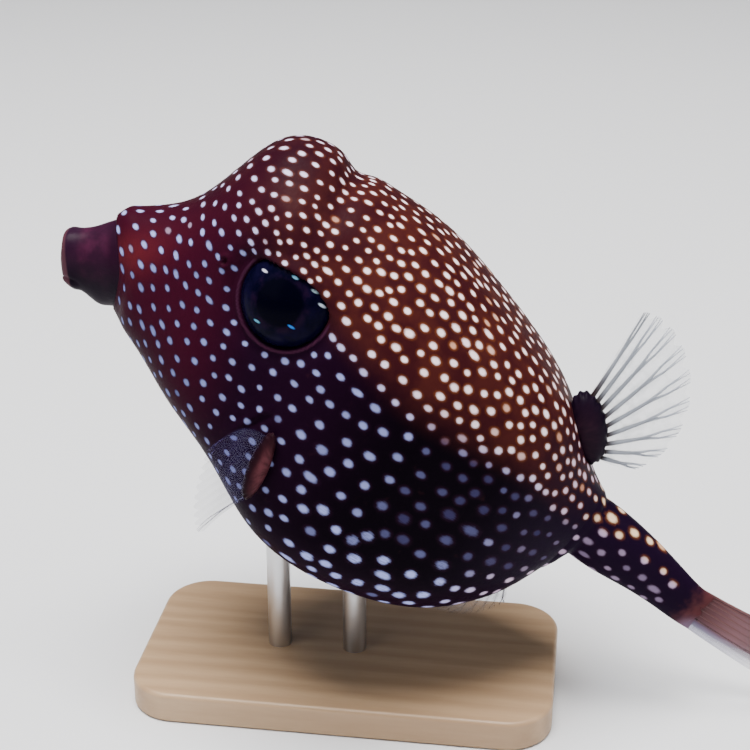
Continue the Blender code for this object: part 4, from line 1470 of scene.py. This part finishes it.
@dataclass(frozen=True)
class WoodFinish:
    """Oiled pale wood with grain along the plate."""

    pale: tuple = (0.50, 0.34, 0.20)
    dark: tuple = (0.30, 0.18, 0.095)
    stretch: tuple = (1.0, 9.0, 9.0)
    rough: tuple = (0.34, 0.50)
    relief: tuple = (0.25, 0.00008)

    def build(self) -> Material:
        """The wood's material."""
        paint = Paint("oiled_wood")
        where = paint.where(self.stretch)
        slow, fine = paint.noise(22.0, 4.0, 0.6, where), paint.noise(160.0, 5.0, 0.7, where)
        inputs = {"Vector": where, "Scale": 14.0, "Distortion": 5.0, "Detail": 3.0, "Detail Scale": 1.2}
        rings = paint.add("ShaderNodeTexWave", inputs, wave_type="BANDS", bands_direction="Y").outputs["Fac"]
        share = paint.plus(paint.times(rings, 0.35), paint.times(fine, 0.5))
        shown = paint.mixed(share, self.pale, self.dark)
        shown = paint.mixed(paint.eased(slow, 0.35, 0.7, 0.0, 0.35), shown, self.dark)
        return paint.done(shown, paint.eased(fine, 0.2, 0.8, *self.rough), relief=(fine, *self.relief))


@dataclass(frozen=True)
class SteelFinish:
    """Brushed steel, fine lines round the rods."""

    colour: tuple = (0.60, 0.60, 0.61)
    shade: float = 0.95
    stretch: tuple = (1.0, 1.0, 30.0)
    rough: tuple = (0.28, 0.34)
    relief: tuple = (0.05, 0.000005)

    def build(self) -> Material:
        """The steel's material."""
        paint = Paint("brushed_steel")
        lines = paint.noise(500.0, 3.0, 0.6, paint.where(self.stretch))
        shown = paint.mixed(lines, self.colour, tuple(self.shade * c for c in self.colour))
        return paint.done(shown, paint.eased(lines, 0.2, 0.8, *self.rough), metal=1.0,
                          relief=(lines, *self.relief))


@dataclass
class Studio:
    """Pale floor, soft lights and the camera."""

    azimuth: float = math.radians(8.55)
    elevation: float = math.radians(24.54)
    distance: float = 0.16725
    lens: float = 77.0
    sensor: float = 36.0
    target: tuple = (33.75, 0.0, 0.0)
    aim: tuple = (1.48, 1.05)
    lit: tuple = (0.0, 0.0, 0.04)
    floor: tuple = (4.0, 1.6, 1.6, 0.5)
    floor_colour: tuple = (0.72, 0.73, 0.76)
    floor_rough: float = 0.85
    sky: tuple = (0.78, 0.80, 0.86, 1.0)
    sky_strength: float = 0.20
    lights: tuple = (
        ("top_light", (-0.04, -0.06, 0.62), 0.36, 11.0, (1.0, 0.98, 0.95)),
        ("front_light", (-0.45, -0.45, 0.40), 0.45, 0.9, (0.94, 0.97, 1.0)),
        ("side_light", (0.60, -0.05, 0.45), 0.40, 1.4, (1.0, 0.98, 0.95)),
    )

    def build_floor(self) -> None:
        """A wide pale floor that curves up behind."""
        width, depth, rise, bend = self.floor
        turns = np.radians(np.linspace(0.0, 90.0, 13))
        profile = [(-depth, 0.0), *zip(depth - bend * (1.0 - np.sin(turns)), bend * (1.0 - np.cos(turns)))]
        profile.append((depth, rise))
        points = [(side * width / 2.0, y, z) for y, z in profile for side in (-1.0, 1.0)]
        faces = [(2 * i, 2 * i + 1, 2 * i + 3, 2 * i + 2) for i in range(len(profile) - 1)]
        mesh = bpy.data.meshes.new("studio_floor")
        mesh.from_pydata(points, [], faces)
        mesh.shade_smooth()
        mesh.materials.append(Paint("pale_floor").done(self.floor_colour, self.floor_rough))
        new_object("studio_floor", mesh)

    def add_light(self, name: str, place: tuple, size: float, power: float, colour: tuple) -> None:
        """One square soft light that faces the fish."""
        light = bpy.data.lights.new(name, "AREA")
        light.size, light.energy, light.color = size, power, colour
        item = new_object(name, light)
        item.location = place
        item.rotation_euler = (Vector(self.lit) - Vector(place)).to_track_quat("-Z", "Y").to_euler()

    def add_camera(self) -> None:
        """The camera, set for the photo's framing."""
        camera = bpy.data.cameras.new("camera")
        camera.lens, camera.sensor_width = self.lens, self.sensor
        camera.clip_start, camera.clip_end = 0.01, 20.0
        item = new_object("camera", camera)
        a, e = self.azimuth, self.elevation
        back = Vector((math.sin(a) * math.cos(e), -math.cos(a) * math.cos(e), math.sin(e)))
        right = Vector((math.cos(a), math.sin(a), 0.0))
        up = back.cross(right)
        target = Vector(POSE.place(np.array([self.target]))[0])
        item.location = target + back * self.distance
        look = target + (right * self.aim[0] + up * self.aim[1]) * MM - item.location
        item.rotation_euler = look.to_track_quat("-Z", "Y").to_euler()
        bpy.context.scene.camera = item

    def build(self) -> None:
        """Floor, lights, surroundings and camera."""
        self.build_floor()
        for row in self.lights:
            self.add_light(*row)
        world = bpy.data.worlds.new("studio")
        bpy.context.scene.world = world
        world.use_nodes = True
        ground = world.node_tree.nodes["Background"]
        ground.inputs["Color"].default_value = self.sky
        ground.inputs["Strength"].default_value = self.sky_strength
        self.add_camera()


def edge_fin(name: str, front: tuple, rear: tuple, out: float, *sizes, **shape) -> Fin:
    """A fin on the back or the belly, on the line between two points.

    Args:
        name: The fin's name.
        front: The front end of its base, x and z.
        rear: The rear end.
        out: The height of its direction out of the body.
        sizes: The fin's further sizes, from its base on.
        shape: The fin's further settings, by name.

    Returns:
        The fin.
    """
    middle = ((front[0] + rear[0]) / 2.0, 0.0, (front[1] + rear[1]) / 2.0)
    place = axes_matrix((rear[0] - front[0], 0.0, rear[1] - front[1]), (0.7, 0.0, out), middle)
    return Fin(name, place, *sizes, **shape)


def dorsal_fin() -> Fin:
    """The fin on the back, its first rays drawn together."""
    return edge_fin("dorsal", (52.95, 12.75), (57.85, 7.45), 0.7, (4.1, 2.0), 1.9, (158.0, 22.0),
                    (143.0, 56.0), (10.3, 11.2, 3.6), 9, -0.8, 0.25,
                    bunch=1.7, ray_thickness=0.26, branch=0.16, lead=0.45)


def anal_fin() -> Fin:
    """The fin under the tail end of the case, bent to the far side in its stroke."""
    return edge_fin("anal", (53.8, -13.4), (59.0, -9.0), -0.7, (3.9, 2.0), 1.7, (152.0, 40.0),
                    (152.0, 100.0), (5.8, 6.7, 4.7), 9, 3.8, 0.4, ray_thickness=0.11)


def pectoral_fin(side: Side) -> Fin:
    """One fin behind the gill slit, swept forward in its stroke."""
    points, _ = CASE.shaped(np.array(5.68), np.array(side.value * math.radians(115.0)))
    place = axes_matrix((0.31, 0.0, -0.95), (-0.74, side.value * 0.62, -0.24), points)
    return Fin("pectoral_" + side.name.lower(), place, (3.7, 1.5), 0.95, (152.0, 28.0), (93.0, 64.0),
               (7.5, 7.0, 6.9), 10, 1.6 * side.value, 0.4, ray_thickness=0.09, bow=1.2,
               drawn=(0.9, 1.0), root_shape=(0.72, 0.13, 0.95))


def tail_fin() -> Fin:
    """The tail fin, nearly closed."""
    place = axes_matrix((0.0, 0.0, -1.0), (1.0, 0.0, 0.0), (76.0, 0.0, -0.5))
    return Fin("tail", place, (2.42, 0.3), 0.0, (170.0, 10.0), (94.5, 87.5), (13.6, 15.2, 13.6), 10,
               -0.8, 0.5, ray_thickness=0.15, drawn=(0.0, 0.7))


def build_fins() -> None:
    """All fins with their finishes."""
    knob = FleshFinish("dark_fin_root", (0.0055, 0.0022, 0.0080), (0.0190, 0.0070, 0.0140)).build()
    orange = FleshFinish("orange_fin_root", (0.012, 0.0032, 0.0060), (0.098, 0.0270, 0.0340)).build()
    pale_ray = RayFinish("pale_ray", (0.020, 0.010, 0.012), (0.26, 0.28, 0.32), (0.46, 0.50, 0.58),
                         0.20, 0.5).build()
    faint_ray = RayFinish("faint_ray", (0.03, 0.014, 0.018), (0.07, 0.07, 0.13), (0.24, 0.25, 0.34),
                          0.2, 0.06, 0.05, edge=0.4).build()
    tail_ray = RayFinish("tail_ray", (0.070, 0.021, 0.024), (0.15, 0.062, 0.062), (0.26, 0.17, 0.21),
                         0.45, 0.55, clear_from=0.55, left=0.04).build()
    clear = MembraneFinish("clear_membrane", (0.50, 0.55, 0.66), 0.06, 0.17).build()
    grey = MembraneFinish("grey_membrane", (0.066, 0.058, 0.165), 0.125, 0.155).build()
    tail_clear = MembraneFinish("tail_membrane", (0.190, 0.094, 0.105), 0.90, 0.98,
                                (0.070, 0.020, 0.024), 0.58).build()
    dorsal_fin().build(FinLook(pale_ray, clear, knob), "dorsal_fin", "dorsal_base")
    anal_fin().build(FinLook(faint_ray, clear, knob), "anal_fin", "anal_base")
    for side in Side:
        name = side.name.lower()
        pectoral_fin(side).build(FinLook(faint_ray, grey, orange), "pectoral_fin_" + name,
                                 "pectoral_base_" + name)
    tail_fin().build(FinLook(tail_ray, tail_clear), "caudal_fin")


def main() -> None:
    """Build every piece of the fish and its stand, then the studio."""
    logging.basicConfig(level=logging.INFO, format="%(name)s: %(message)s")
    Skin().build()
    eye = EyeFinish().build()
    for side in Side:
        Eye(side).build(eye)
    Lips().build()
    build_fins()
    Stand().build()
    Studio().build()


if __name__ == "__main__":
    main()
